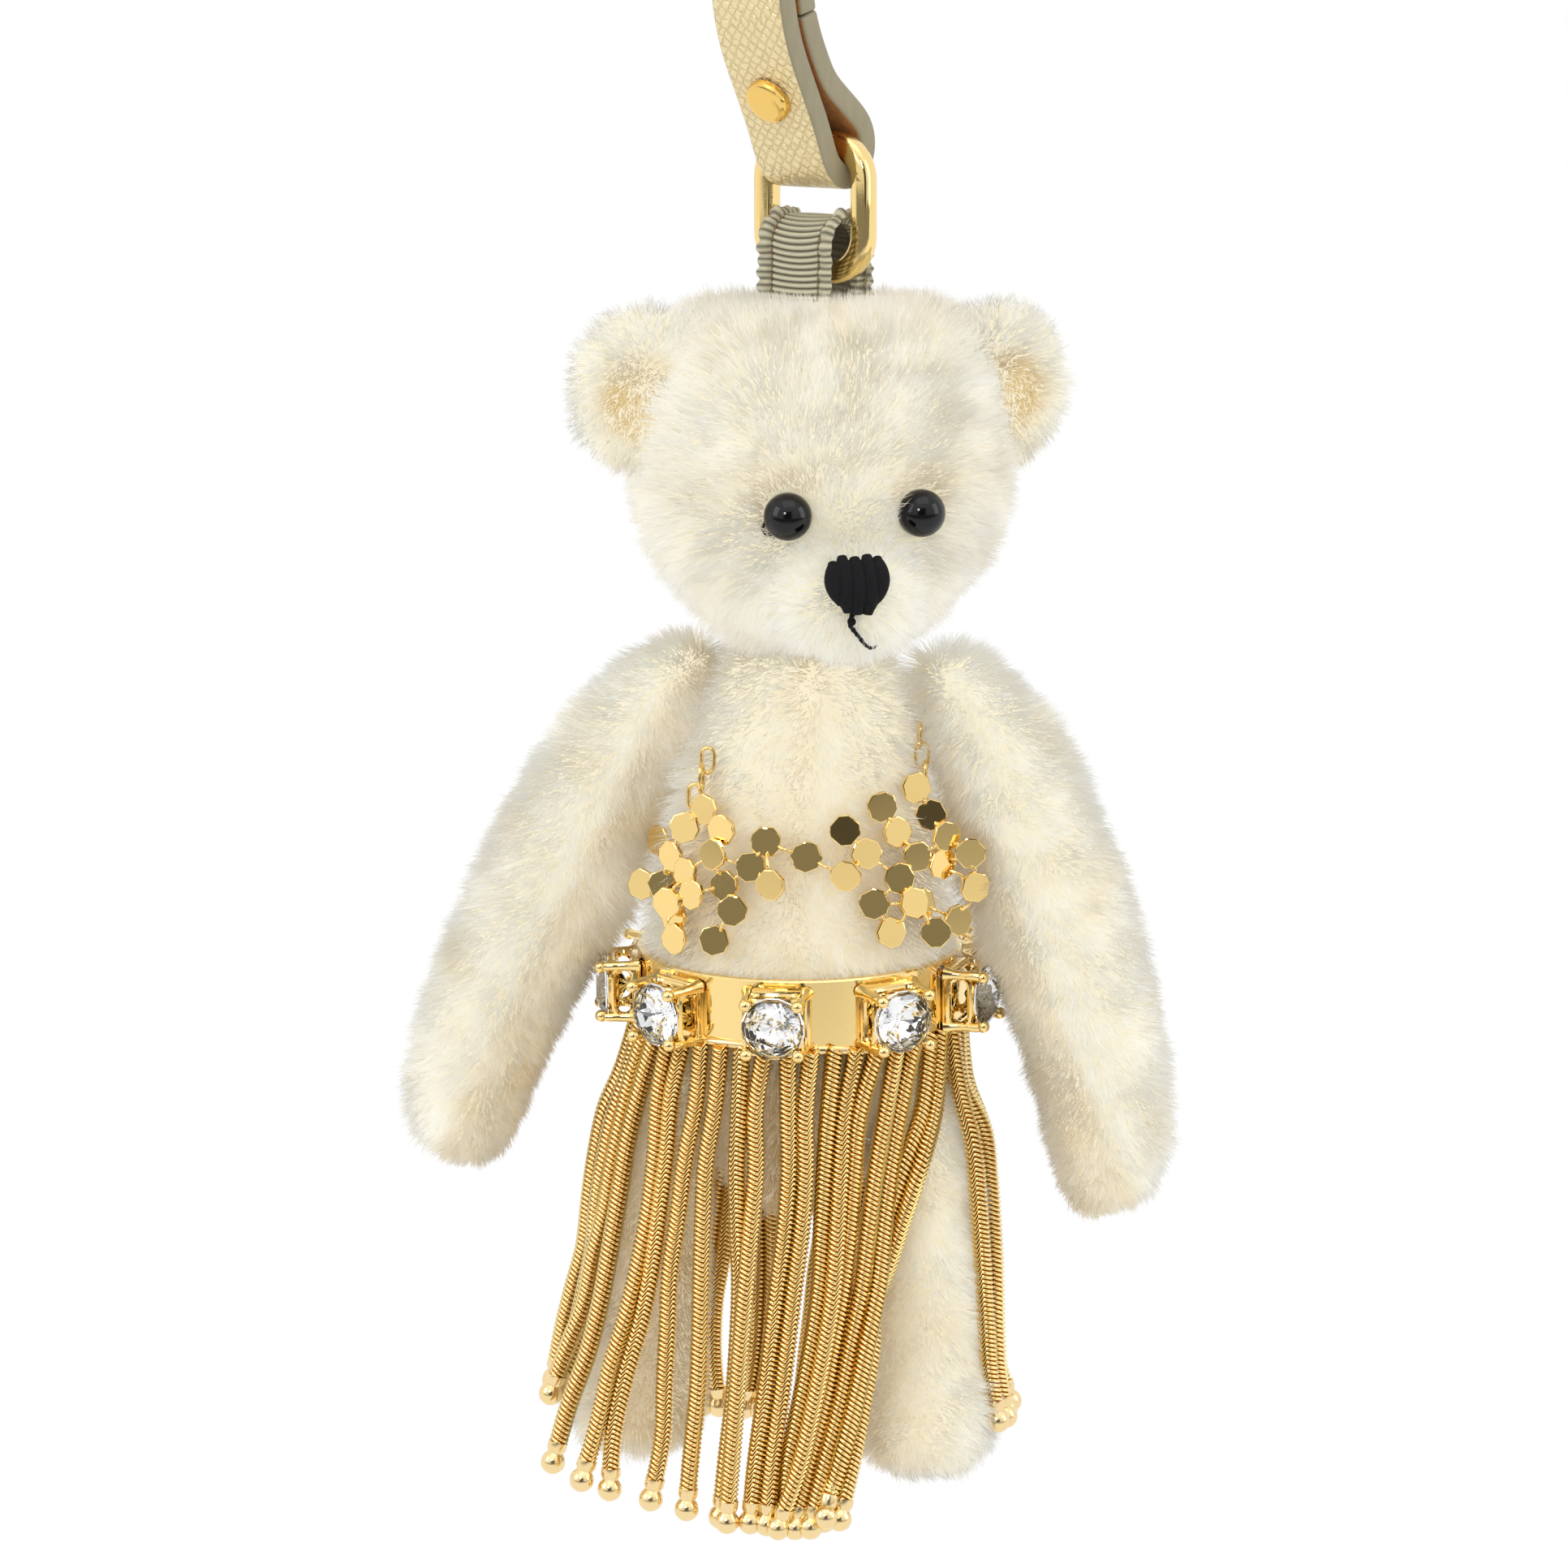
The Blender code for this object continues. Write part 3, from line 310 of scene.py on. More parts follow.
def fibrous(name, colour, roughness, streaks, size, relief, stretch=(1, 1, 1), **more):
    """A matt material of fibres. `streaks` is two colours, `relief` a bump's strength and depth."""
    mat, tree, shader = material(name, colour, roughness, **more)
    haze = use(tree, fibre, Place=object_place(tree), Size=size, Stretch=stretch)
    tree.links.new(blend_colour(tree, haze["Streak"], *streaks), shader.inputs["Base Color"])
    bump(tree, shader, haze["Height"], *relief)
    return mat

# %% [markdown]
# ## Gold plating
# Plated trim is a mirror with a warm colour. The belt, plates and ring are bright; the woven chain
# is a little duller, because its links are pressed and tumbled.

# %% Gold finishes
def gold(name, colour, smooth, worn, size):
    return worn_smooth(name, colour, smooth, 1.0, smooth, worn, size)[0]


polished_gold = gold("polished_gold", (0.95, 0.71, 0.3), 0.05, 0.15, 90.0)
chain_gold = gold("chain_gold", (0.9, 0.69, 0.36), 0.14, 0.3, 160.0)
plate_gold = gold("plate_gold", (0.96, 0.7, 0.28), 0.03, 0.1, 200.0)
rivet_gold = gold("rivet_gold", (0.88, 0.58, 0.17), 0.12, 0.25, 200.0)

# The woven chain is painted with dark amber shade between its links: its map's second axis is 0
# there, 1 on a crest.
woven_gold, tree, shader = worn_smooth("woven_gold", (0.95, 0.74, 0.36), 0.16, 1.0, 0.13, 0.28,
                                       160.0)
unshaded_crest = ranged(tree, part_of(tree, own_map(tree, "OFBake"), "Y"), 0.15, 0.75)
tree.links.new(blend_colour(tree, unshaded_crest, (0.66, 0.37, 0.08), (1.0, 0.8, 0.36)),
               shader.inputs["Base Color"])

# %% [markdown]
# ## From a bmesh to a piece that rides on a body
# Every new piece goes through one helper. It merges doubles, points the faces out, puts the shape
# in place, gives it a material and hangs it on the body that it moves with. The object itself stays
# at the origin, unturned, so a pattern in Object coordinates never slides.

# %% Finishing a piece
def finished(name, bm, mats, body, place=Matrix.Identity(4), replaces=(), sharp=None,
             merge=1e-4):
    """Turns a bmesh in millimetres into a placed object. Edges sharper than `sharp` stay crisp."""
    if merge:
        bmesh.ops.remove_doubles(bm, verts=bm.verts, dist=merge)
    bmesh.ops.recalc_face_normals(bm, faces=bm.faces)
    return shown(name, to_mesh(name, bm), mats, body, place, replaces, sharp)


def shown(name, mesh, mats, body, place=Matrix.Identity(4), replaces=(), sharp=None):
    """Places a mesh in millimetres as an object that rides on its body."""
    mesh.transform(Matrix.Scale(MM, 4) @ place)
    mesh.shade_smooth()
    if sharp:
        mesh.set_sharp_from_angle(angle=math.radians(sharp))
    for mat in mats if isinstance(mats, list) else [mats]:
        mesh.materials.append(mat)
    obj = linked(name, mesh)
    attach(obj, body)
    if replaces:
        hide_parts(*([replaces] if isinstance(replaces, str) else replaces))
    return obj

# %% [markdown]
# ## Bars and wires pulled along a route
# A ring, a hook and an eye are one section pulled along straights and bends. `Extrude` makes the
# straights and `Spin` the bends, as a smith bends bar round a former.

# %% Pulling a section along straights and bends
def of_kind(geometry, kind):
    return [e for e in geometry if isinstance(e, kind)]


def drawn_out(bm, edges):
    """Extrudes edges. Gives the new points and the new edges at the far end."""
    made = bmesh.ops.extrude_edge_only(bm, edges=edges)["geom"]
    verts = of_kind(made, bmesh.types.BMVert)
    far = set(verts)
    return verts, [e for e in of_kind(made, bmesh.types.BMEdge) if far.issuperset(e.verts)]


def added(bm, before):
    return [v for v in bm.verts if v not in before]


def section(bm, size, sides, cut=0.0, at=(0, 0, 0), turn=(0, 0, 0)):
    """A closed outline: round, or a flat bar with its corners cut. Its plane is local XY."""
    verts = bmesh.ops.create_circle(bm, cap_ends=True, segments=4 if cut else sides,
                                    radius=math.sqrt(0.5) if cut else 0.5)["verts"]
    if cut:
        bmesh.ops.rotate(bm, verts=verts, matrix=Matrix.Rotation(math.pi / 4, 3, "Z"))
    bmesh.ops.scale(bm, verts=verts, vec=(size[0], size[1], 1))
    if cut:
        bmesh.ops.bevel(bm, geom=verts, offset=cut, segments=2, profile=0.5, affect="VERTICES",
                        material=-1)
    face = max(bm.faces, key=lambda f: f.index if f.index >= 0 else 1e9)  # the newest has no index
    bmesh.ops.transform(bm, verts=list(face.verts), matrix=placed(at, turn))
    edges = list(face.edges)
    bmesh.ops.delete(bm, geom=[face], context="FACES_ONLY")
    return edges


def pulled(bm, ring, moves):
    """Pulls a ring of edges through ("go", vector) and ("turn", centre, axis, degrees, steps)."""
    for kind, *facts in moves:
        if kind == "go":
            verts, ring = drawn_out(bm, ring)
            bmesh.ops.translate(bm, verts=verts, vec=facts[0])
        else:
            centre, axis, degrees, steps = facts
            made = bmesh.ops.spin(bm, geom=ring, cent=centre, axis=axis, steps=steps,
                                  angle=math.radians(degrees), use_merge=False,
                                  use_duplicate=False)["geom_last"]
            ring = of_kind(made, bmesh.types.BMEdge)
    return ring


def lathe(bm, profile, steps=32, place=Matrix.Identity(4)):
    """Spins (radius, height) points a full turn round Z, and closes the poles."""
    verts = [bm.verts.new((r, 0, z)) for r, z in profile]
    edges = [bm.edges.new(pair) for pair in zip(verts, verts[1:])]
    before = set(bm.verts) - set(verts)
    bmesh.ops.spin(bm, geom=verts + edges, cent=(0, 0, 0), axis=(0, 0, 1), angle=2 * math.pi,
                   steps=steps, use_merge=True, use_duplicate=False)
    bmesh.ops.remove_doubles(bm, verts=added(bm, before), dist=1e-4)
    bmesh.ops.transform(bm, verts=added(bm, before), matrix=place)


def rounded_loop(size, bar, corner, cut=0.0):
    """A closed oblong loop in the XZ plane, started at the middle of its top bar."""
    bm = bmesh.new()
    x, z = size[0] / 2 - corner, size[1] / 2 - corner
    ring = section(bm, bar, 20, cut, at=(0, 0, size[1] / 2), turn=(0, 90, 0))
    ring = pulled(bm, ring, [("go", (x, 0, 0))])
    for bend, onward in (((x, 0, z), (0, 0, -2 * z)), ((x, 0, -z), (-2 * x, 0, 0)),
                         ((-x, 0, -z), (0, 0, 2 * z)), ((-x, 0, z), (x, 0, 0))):
        ring = pulled(bm, ring, [("turn", bend, (0, 1, 0), 90, 10), ("go", onward)])
    bmesh.ops.remove_doubles(bm, verts=bm.verts, dist=1e-3)
    return bm

# %% [markdown]
# ## The oblong ring
# A flat bar with cut corners, bent into an oblong. Its broad faces mirror the studio in long
# strips, so the cut corners matter more than any texture. The face is left bare.

# %% Oblong ring
RING_SIZE, RING_BAR = (11.8, 12.5), (2.2, 2.0)
bm = rounded_loop(RING_SIZE, RING_BAR, 3.6, cut=0.5)
finished("ring_bar", bm, polished_gold, "ring",
         placed((0, 0, -RING_SIZE[1] / 2), within=ring_place), "oblong_ring", sharp=50)

# %% [markdown]
# ## Snap hook, gate and swivel
# The hook is round rod bent to a link, its tip halved so that the gate closes against it. The
# barrel is turned, with a groove and a collar. The eye below it turns on a headed post.

# %% Hook, gate and swivel eye
BEND, ROD, TIP = 5.5, 3.0, -7.0
HINGE = (-5.4, 0, -14.3)
BARREL = [(0, -17.2), (2.0, -17.2), (2.4, -17.6), (2.9, -18.4), (3.2, -19.0), (3.2, -20.2),
          (2.95, -20.4), (2.95, -20.9), (3.2, -21.1), (3.2, -24.4), (2.9, -24.95), (1.7, -25.0),
          (1.6, -24.0), (0, -24.0)]


def ball(bm, radius, rings=(20, 14), matrix=Matrix.Identity(4)):
    """A sphere or, with three radii, an ellipsoid. `rings` is its segments round and up."""
    size = radius if isinstance(radius, tuple) else (radius,) * 3
    return bmesh.ops.create_uvsphere(bm, u_segments=rings[0], v_segments=rings[1], radius=1,
                                     matrix=matrix @ Matrix.Diagonal((*size, 1)))["verts"]


def pin(bm, radius, length, place, sides=24):
    """A round pin, its axis along Z of its place."""
    bmesh.ops.create_cone(bm, cap_ends=True, segments=sides, radius1=radius, radius2=radius,
                          depth=length, matrix=place)


def block(bm, size, at=(0, 0, 0)):
    return bmesh.ops.create_cube(bm, size=1, matrix=placed(at)
                                 @ Matrix.Diagonal((*size, 1)))["verts"]


bm = bmesh.new()
first = section(bm, (ROD, ROD), 28, at=(-BEND, 0, TIP))
last = pulled(bm, first, [
    ("go", (0, 0, 2.2)), ("go", (0, 0, 0.8)), ("turn", (0, 0, -4), (0, 1, 0), 180, 24),
    ("go", (0, 0, -9)), ("turn", (0, 0, -13), (0, 1, 0), 166, 24)])
bmesh.ops.contextual_create(bm, geom=first)
bmesh.ops.contextual_create(bm, geom=last)
halved = [v for v in bm.verts if -BEND - 0.3 < v.co.x < 0 and abs(v.co.z - TIP) < 0.01]
bmesh.ops.translate(bm, verts=halved, vec=(0, 0, 1.5))
lathe(bm, BARREL, 40)
for y in (-1.25, 1.25):
    ball(bm, (2.15, 0.42 * 2.15, 2.15), (28, 16), placed((HINGE[0], y, HINGE[2])))
pin(bm, 0.75, 4.6, placed(HINGE, (90, 0, 0)), 20)
finished("hook_rod", bm, polished_gold, "hook", replaces=("snap_hook", "gate_pin"),
         sharp=38)

bm = bmesh.new()
lathe(bm, [(0, 8.7), (0.7, 8.7), (1.05, 8.4), (1.15, 8.0), (1.15, 3.6), (1.0, 3.0), (0, 3.0)], 24)
block(bm, (1.9, 1.1, 4.2), (-0.1, 0, 2.3))
pin(bm, 1.15, 1.1, placed((0, 0, 0), (90, 0, 0)))
finished("gate_lever", bm, polished_gold, "gate",
         placed(joint_at["gate_spring_hinge"]), "hook_gate", sharp=38)

swivel_place = placed(joint_at["hook_swivel"], (0, 0, STRAP_YAW))
bm = rounded_loop((11.8, 6.8), (2.2, 2.2), 2.2)
bmesh.ops.translate(bm, verts=bm.verts, vec=(0, 0, -5.0))
lathe(bm, [(0, 2.3), (1.6, 2.3), (2.0, 1.9), (1.3, 1.0), (1.3, -0.9), (1.9, -1.3), (1.9, -1.9),
           (0, -2.0)], 28)
finished("swivel_loop", bm, polished_gold, "swivel", swivel_place, "swivel_eye",
         sharp=38)
print("hardware done")

# %% [markdown]
# ## Leather strap
# One length of leather folded round the ring and the eye. Three surfaces show: the gold face with
# its embossed cross grain, the painted edge, and the brown back. The strap carries its own map,
# across by along in millimetres, so the grain follows the fold.

# %% Strap finishes
cross_grain, inp, out = effect(
    "embossed_cross_grain", {"Map": "v", "Pitch": "f", "Irregular": "f"},
    {"Height": "f", "Groove": "f"})
wander = node(cross_grain, "TexNoise", Vector=inp["Map"], Scale=1.1, Detail=2.0).outputs["Color"]
off = node(cross_grain, "VectorMath", {"operation": "SCALE"}, Scale=inp["Irregular"],
           _0=vector(cross_grain, "SUBTRACT", wander, (0.5, 0.5, 0.5))).outputs[0]
bent = vector(cross_grain, "ADD", inp["Map"], off)
lines = []
for turn in (52, -38):
    turned_map = node(cross_grain, "VectorRotate", {"rotation_type": "Z_AXIS"}, Vector=bent,
                      Angle=math.radians(turn)).outputs[0]
    across = maths(cross_grain, "DIVIDE", part_of(cross_grain, turned_map, "X"), inp["Pitch"])
    lines.append(ranged(cross_grain, maths(cross_grain, "PINGPONG", across, 0.5), 0.0, 0.2,
                        smooth=True))
cells = maths(cross_grain, "MULTIPLY", *lines)
pebble = node(cross_grain, "TexVoronoi", {"feature": "SMOOTH_F1"}, Vector=inp["Map"],
              Scale=1.5).outputs[0]
soft_cells = node(cross_grain, "Math", {"operation": "MULTIPLY_ADD"}, _0=cells, _1=0.45,
                  _2=0.55).outputs[0]
round_top = maths(cross_grain, "MULTIPLY", soft_cells, maths(cross_grain, "SUBTRACT", 1.15, pebble))
cross_grain.links.new(round_top, out.inputs["Height"])
cross_grain.links.new(maths(cross_grain, "SUBTRACT", 1.0, cells), out.inputs["Groove"])

foil, tree, shader = worn_smooth("gold_foil_leather", (0.8, 0.66, 0.38), 0.4, 0.55, 0.3, 0.55,
                                 300.0)
grain = use(tree, cross_grain, Map=own_map(tree), Pitch=0.85, Irregular=0.75)
tone = maths(tree, "MULTIPLY", grain["Groove"], 0.38)
tree.links.new(blend_colour(tree, tone, (0.84, 0.7, 0.4), (0.46, 0.32, 0.13)),
               shader.inputs["Base Color"])
bump(tree, shader, grain["Height"], 0.8, 0.00022)
edge_paint = fibrous("painted_edge", (0.42, 0.38, 0.26), 0.5,
                     ((0.36, 0.31, 0.19), (0.24, 0.21, 0.13)), 900.0, (0.25, 0.0001), (1, 1, 0.3))
flesh_side = fibrous("brown_backing", (0.36, 0.15, 0.04), 0.75,
                     ((0.2, 0.075, 0.02), (0.55, 0.26, 0.08)), 1500.0, (0.6, 0.00015))

# %% [markdown]
# The strap is drawn as a strip: an edge as wide as the leather is extruded along the route, and
# `Solidify` then gives it its thickness. A bevel rounds the painted edges.

# %% Folded strap
STRAP_WIDTH, STRAP_THICK = 8.5, 2.5
LOWER_FOLD, UPPER_R, LOWER_R = (8.6, -31.1), 2.8, 3.2  # the folds turn round the ring and the eye

# %% Smooth and evenly spaced routes
def curve_through(points, steps):
    """A smooth route through points, as an even Catmull-Rom curve."""
    pts = [np.array(p, float) for p in points]
    pts = [2 * pts[0] - pts[1], *pts, 2 * pts[-1] - pts[-2]]
    route = []
    for a, b, c, d in zip(pts, pts[1:], pts[2:], pts[3:]):
        for t in np.arange(steps) / steps:
            route.append(0.5 * (2 * b + (c - a) * t + (2 * a - 5 * b + 4 * c - d) * t**2
                                + (3 * b - a - 3 * c + d) * t**3))
    return np.array(route + [pts[-2]])


def run_along(points):
    """How far along its route each point lies."""
    return np.concatenate([[0], np.cumsum(np.linalg.norm(np.diff(points, axis=0), axis=1))])


def evened(points, step):
    """The same route with its points a fixed step apart, and how far along it they lie."""
    run = run_along(points)
    marks = np.linspace(0, run[-1], max(int(run[-1] / step), 2) + 1)
    return np.stack([np.interp(marks, run, column) for column in points.T], axis=1), marks


def heading(points):
    """The unit direction of a route at each point."""
    return unit(np.gradient(points, axis=0))


def unit(v):
    return v / np.maximum(np.linalg.norm(v, axis=-1, keepdims=True), 1e-9)


def arc(radius, centre, first, last, count):
    """Points of a flat arc, its angles in degrees."""
    return [(centre[0] + radius * math.cos(a), centre[1] + radius * math.sin(a))
            for a in np.radians(np.linspace(first, last, count))]

# %% The strap's route
def strap_route():
    """The middle of the leather, as (depth, height): up the back, over, down the front, under."""
    slope = curve_through([(0, -4.6), (0.05, -10.5), (0.35, -16.4), (1.5, -20.7), (3.75, -25.0),
                           (5.7, -28.6)], 6)
    along = heading(slope)
    side = np.stack([-along[:, 1], along[:, 0]], axis=1)
    slack = 0.105 * np.clip((-slope[:, 1] - 16) / 10, 0, 1)[:, None]
    back, front = slope + side * (1.45 + slack), slope - side * 1.45
    butt = 15  # the two ends meet inside, at this point of the back run
    meet = 0.9 * back[butt] + 0.1 * back[butt + 1]
    rough = np.array([*back[butt:0:-1], *arc(UPPER_R, (0, 0), -20, 200, 24), *front,
                      *arc(LOWER_R, LOWER_FOLD, 202, 400, 24), *back[-6:butt:-1], meet])
    even = evened(rough, 0.8)[0]
    for _ in range(4):
        even[1:-1] = 0.25 * even[:-2] + 0.5 * even[1:-1] + 0.25 * even[2:]
    return curve_through(even, 2)

# %% Strip, thickness and map
route = strap_route()
bm = bmesh.new()
row = [bm.verts.new((x, *route[0])) for x in np.linspace(-STRAP_WIDTH / 2, STRAP_WIDTH / 2, 9)]
edges = [bm.edges.new(pair) for pair in zip(row, row[1:])]
for spot in route[1:]:
    row, edges = drawn_out(bm, edges)
    for v in row:
        v.co.y, v.co.z = spot
bmesh.ops.recalc_face_normals(bm, faces=bm.faces)
strap_mid = linked("strap_strip", to_mesh("strap_strip", bm))
wall = strap_mid.modifiers.new("thickness", "SOLIDIFY")
wall.thickness, wall.offset, wall.use_even_offset = STRAP_THICK, 0.0, True
soft = strap_mid.modifiers.new("rounded edge", "BEVEL")
soft.width, soft.segments, soft.limit_method = 0.45, 3, "ANGLE"
soft.angle_limit = math.radians(60)


def applied(obj):
    """The mesh with its modifiers in it. The object goes."""
    bpy.context.view_layer.update()
    graph = bpy.context.evaluated_depsgraph_get()
    mesh = bpy.data.meshes.new_from_object(obj.evaluated_get(graph))
    bpy.data.objects.remove(obj, do_unlink=True)
    return mesh


def nearest(spot):
    return int(np.argmin(((route - spot) ** 2).sum(axis=1)))


# The faces turned out of the fold are foil, those turned in are flesh, and the rest is edge.
mesh = applied(strap_mid)
tangent, lengths = heading(route), run_along(route)
inward = np.stack([-tangent[:, 1], tangent[:, 0]], axis=1)
uv = mesh.uv_layers.new(name="map")
for poly in mesh.polygons:
    facing = float(np.dot(poly.normal[1:], inward[nearest(poly.center[1:])]))
    poly.material_index = 0 if facing < -0.75 else 2 if facing > 0.75 else 1
    for corner in poly.loop_indices:
        x, *spot = mesh.vertices[mesh.loops[corner].vertex_index].co
        j = nearest(spot)
        uv.data[corner].uv = (x, lengths[j] + float(np.dot(spot - route[j], tangent[j])))
shown("folded_strap", mesh, [foil, edge_paint, flesh_side], "strap", strap_place,
      "leather_strap", sharp=40)
print("strap", round(float(lengths[-1]), 1), "mm long,", len(mesh.polygons), "faces")

# %% [markdown]
# ## Rivets
# Turned caps with a flat polished top and a rolled rim. Half the outline is drawn and `Spin` turns
# it, as a lathe does. The back of each is a shallower disc, closed over the shank.

# %% Rivets
RIVET_PROFILES = {
    "cap": [(0, 4.1), (1.55, 4.1), (1.9, 4.04), (2.15, 3.88), (2.28, 3.62), (2.3, 3.35),
            (2.3, 3.05), (0.9, 3.05), (0.9, -2.9), (0, -2.9)],
    "back": [(0, -3.2), (0.9, -3.2), (0.9, -3.05), (2.3, -3.05), (2.28, -3.4), (2.1, -3.7),
             (1.7, -3.9), (0, -3.95)],
}
for name, depth, up, lean in (("lower", 4.05, -24.9, 33), ("upper", 0.0, -7.0, 0)):
    where = placed((0, depth, up), (90 + lean, 0, 0), strap_place)
    for part, profile in RIVET_PROFILES.items():
        bm = bmesh.new()
        lathe(bm, profile, 40)
        finished(f"{name}_turned_{part}", bm, rivet_gold, "strap", where,
                 f"{name}_rivet_{part}", sharp=30)
print("rivets turned")

# %% [markdown]
# ## Ribbon loop
# Grosgrain is a ribbon with heavy crosswise ribs. Its two edges are rolled over and sewn down with
# brown thread, which puckers them. The ribs are real ridges here: the strip is finely cut along its
# route and each row of points is raised by a rounded wave. Their furrows also get painted shade
# and their crests a painted highlight.

# %% Ribbon finish
RIB, STITCH = 0.63, 1.25  # how far apart the ribs and the stitches are
grosgrain, tree, shader = material("olive_grosgrain", (0.33, 0.32, 0.21), 0.5)
wale = use(tree, fibre, Place=own_map(tree), Size=5.0, Stretch=(0.5, 4.0, 1.0))
furrow = maths(tree, "PINGPONG", maths(tree, "DIVIDE", part_of(tree, own_map(tree), "Y"), RIB), 0.5)
cloth = blend_colour(tree, wale["Streak"], (0.28, 0.26, 0.17), (0.56, 0.52, 0.37))
# The furrows between the ribs are painted dark and the crests light: painted shade and painted
# highlight.
rib_shade_and_highlight = blend_colour(tree, ranged(tree, furrow, 0.04, 0.4), (0.045, 0.038, 0.018),
                      (0.72, 0.66, 0.46))
tree.links.new(blend_colour(tree, 0.7, cloth, rib_shade_and_highlight), shader.inputs["Base Color"])
bump(tree, shader, wale["Height"], 0.5, 0.00012)
brown_thread = fibrous("brown_thread", (0.2, 0.11, 0.045), 0.6,
                       ((0.11, 0.055, 0.02), (0.33, 0.2, 0.09)), 2600.0, (0.5, 0.0001),
                       (1, 1, 0.3))

# %% Ribbon
RIBBON_HALF, RIBBON_TOP, RIBBON_FOOT = 3.0, 5.3, -4.8
FLAT, SEAM, ROLL_AT, ROLL_R = 2.75, 3.05, 3.78, 0.78  # from the middle out to the rolled edge
ends = [(RIBBON_HALF, RIBBON_FOOT), (RIBBON_HALF, -1.5), (RIBBON_HALF - 0.1, 1.2)]
bend = arc(RIBBON_HALF, (0, RIBBON_TOP - RIBBON_HALF), 8, 172, 11)
route, marks = evened(curve_through([*ends, *bend, *[(-y, z) for y, z in reversed(ends)]], 16),
                      0.105)
lean = heading(route)
outside = np.stack([lean[:, 1], -lean[:, 0]], axis=1)


def gathers(x, s):
    """The wave that the stitches draw the edge into."""
    return math.sin(2 * math.pi * s / STITCH + (1.3 if x > 0 else 0))


def ribbon_rise(x, s):
    """How far the cloth stands out at one point of its width and length."""
    if abs(x) < FLAT:
        return 0.27 * abs(math.sin(math.pi * s / RIB)) ** 0.8
    if abs(x) < SEAM:
        return -0.12
    roll = math.sqrt(max(1 - ((abs(x) - ROLL_AT) / ROLL_R) ** 2, 0))
    pucker = 1 + 0.24 * gathers(x, s) + 0.2 * math.sin(3.1 * s)
    rib = 0.2 * abs(math.sin(math.pi * (s + 0.4 * abs(x)) / RIB)) ** 0.8
    return -0.05 + (0.72 * pucker + rib) * roll


xs = [*np.linspace(-4.5, -3.1, 9), -2.95, -2.8, *np.linspace(-2.7, 2.7, 13), 2.8, 2.95,
      *np.linspace(3.1, 4.5, 9)]
bm = bmesh.new()
row = [bm.verts.new((x, 0, 0)) for x in xs]
edges = [bm.edges.new(pair) for pair in zip(row, row[1:])]
rows = [row]
for _ in marks[1:]:
    made, edges = drawn_out(bm, edges)
    rows.append(sorted(made, key=lambda v: v.co.x))
for row, (y, z), (oy, oz), (ty, tz), s in zip(rows, route, outside, lean, marks):
    for v, x in zip(row, xs):
        up = ribbon_rise(x, s)
        droop = 0.45 * max(1 - (x / 3) ** 2, 0) * math.sin(math.pi * s / marks[-1])
        wave = 0.1 * gathers(x, s) * np.sign(x) * max(abs(x) - 3.4, 0)
        v.co = (x + wave, y + oy * up + ty * droop, z + oz * up + tz * droop)
uv = bm.loops.layers.uv.new("map")
spot = {v: (x, s) for row, s in zip(rows, marks) for v, x in zip(row, xs)}
for face in bm.faces:
    for loop in face.loops:
        loop[uv].uv = spot[loop.vert]
bmesh.ops.recalc_face_normals(bm, faces=bm.faces)
if sum(f.normal.dot((0, *outside[20])) for f in rows[20][5].link_faces) < 0:
    bmesh.ops.reverse_faces(bm, faces=bm.faces)
strip = linked("ribbon_strip", to_mesh("ribbon_strip", bm))
wall = strip.modifiers.new("thickness", "SOLIDIFY")
wall.thickness, wall.offset = 0.55, -1
ribbon = shown("grosgrain_loop", applied(strip), grosgrain, "head", ribbon_place,
               "ribbon_loop", sharp=60)

# %% Stitches along the ribbon
bm = bmesh.new()
for side in (-1, 1):
    for i in range(int(marks[-1] / STITCH)):
        s = 0.6 + STITCH * i
        y, z, oy, oz = (float(np.interp(s, marks, column)) for column in (*route.T, *outside.T))
        tip = Matrix.Rotation(math.atan2(-oy, oz) + math.pi / 2, 4, "X")
        ball(bm, (0.15, 0.13, 0.46), (8, 6),
             Matrix.Translation((side * 2.93, y + oy * 0.02, z + oz * 0.02)) @ tip
             @ Matrix.Rotation(math.radians(14 * side), 4, "Y"))
finished("ribbon_seams", bm, brown_thread, "head", ribbon_place, sharp=38, merge=0)
print("ribbon", round(float(marks[-1]), 1), "mm long,", len(ribbon.data.polygons), "faces")

# %% [markdown]
# ## Plush skins
# A jointed bear is sewn from flat pieces of mohair and stuffed hard, so each limb is a closed,
# crowned form. Each skin is drawn through rings, remeshed so that its faces are even, and relaxed.
# It is a little smaller than the body, because the pile stands on it.

# %% Mohair finish
mohair, tree, shader = material("mohair_pile", (0.9, 0.84, 0.7), 0.6, Sheen_Weight=0.25,
                                Sheen_Roughness=0.5)
hair_map = own_map(tree, "OFBake")
tan_to_ivory, root_to_tip = part_of(tree, hair_map, "X"), part_of(tree, hair_map, "Y")
tip = blend_colour(tree, tan_to_ivory, (0.78, 0.56, 0.24), (1.0, 0.99, 0.9))
# The root end of each hair is painted darker: painted shade down in the pile, which casts no
# shadow.
root = blend_colour(tree, tan_to_ivory, (0.62, 0.4, 0.12), (1.0, 0.94, 0.7))
tree.links.new(blend_colour(tree, ranged(tree, root_to_tip, 0.0, 0.7), root, tip),
               shader.inputs["Base Color"])
backing = fibrous("mohair_backing", (0.85, 0.74, 0.53), 0.9, ((0.9, 0.76, 0.47), (1.0, 0.95, 0.76)),
                  420.0, (0.8, 0.0004))

# %% Rings into a stuffed skin
def next_ring(bm, order, edges):
    """Extrudes a ring, and gives its new points in the order of the old ones, and its new edges."""
    made, edges = drawn_out(bm, edges)
    far = set(made)
    return [next(e.other_vert(v) for e in v.link_edges if e.other_vert(v) in far)
            for v in order], edges


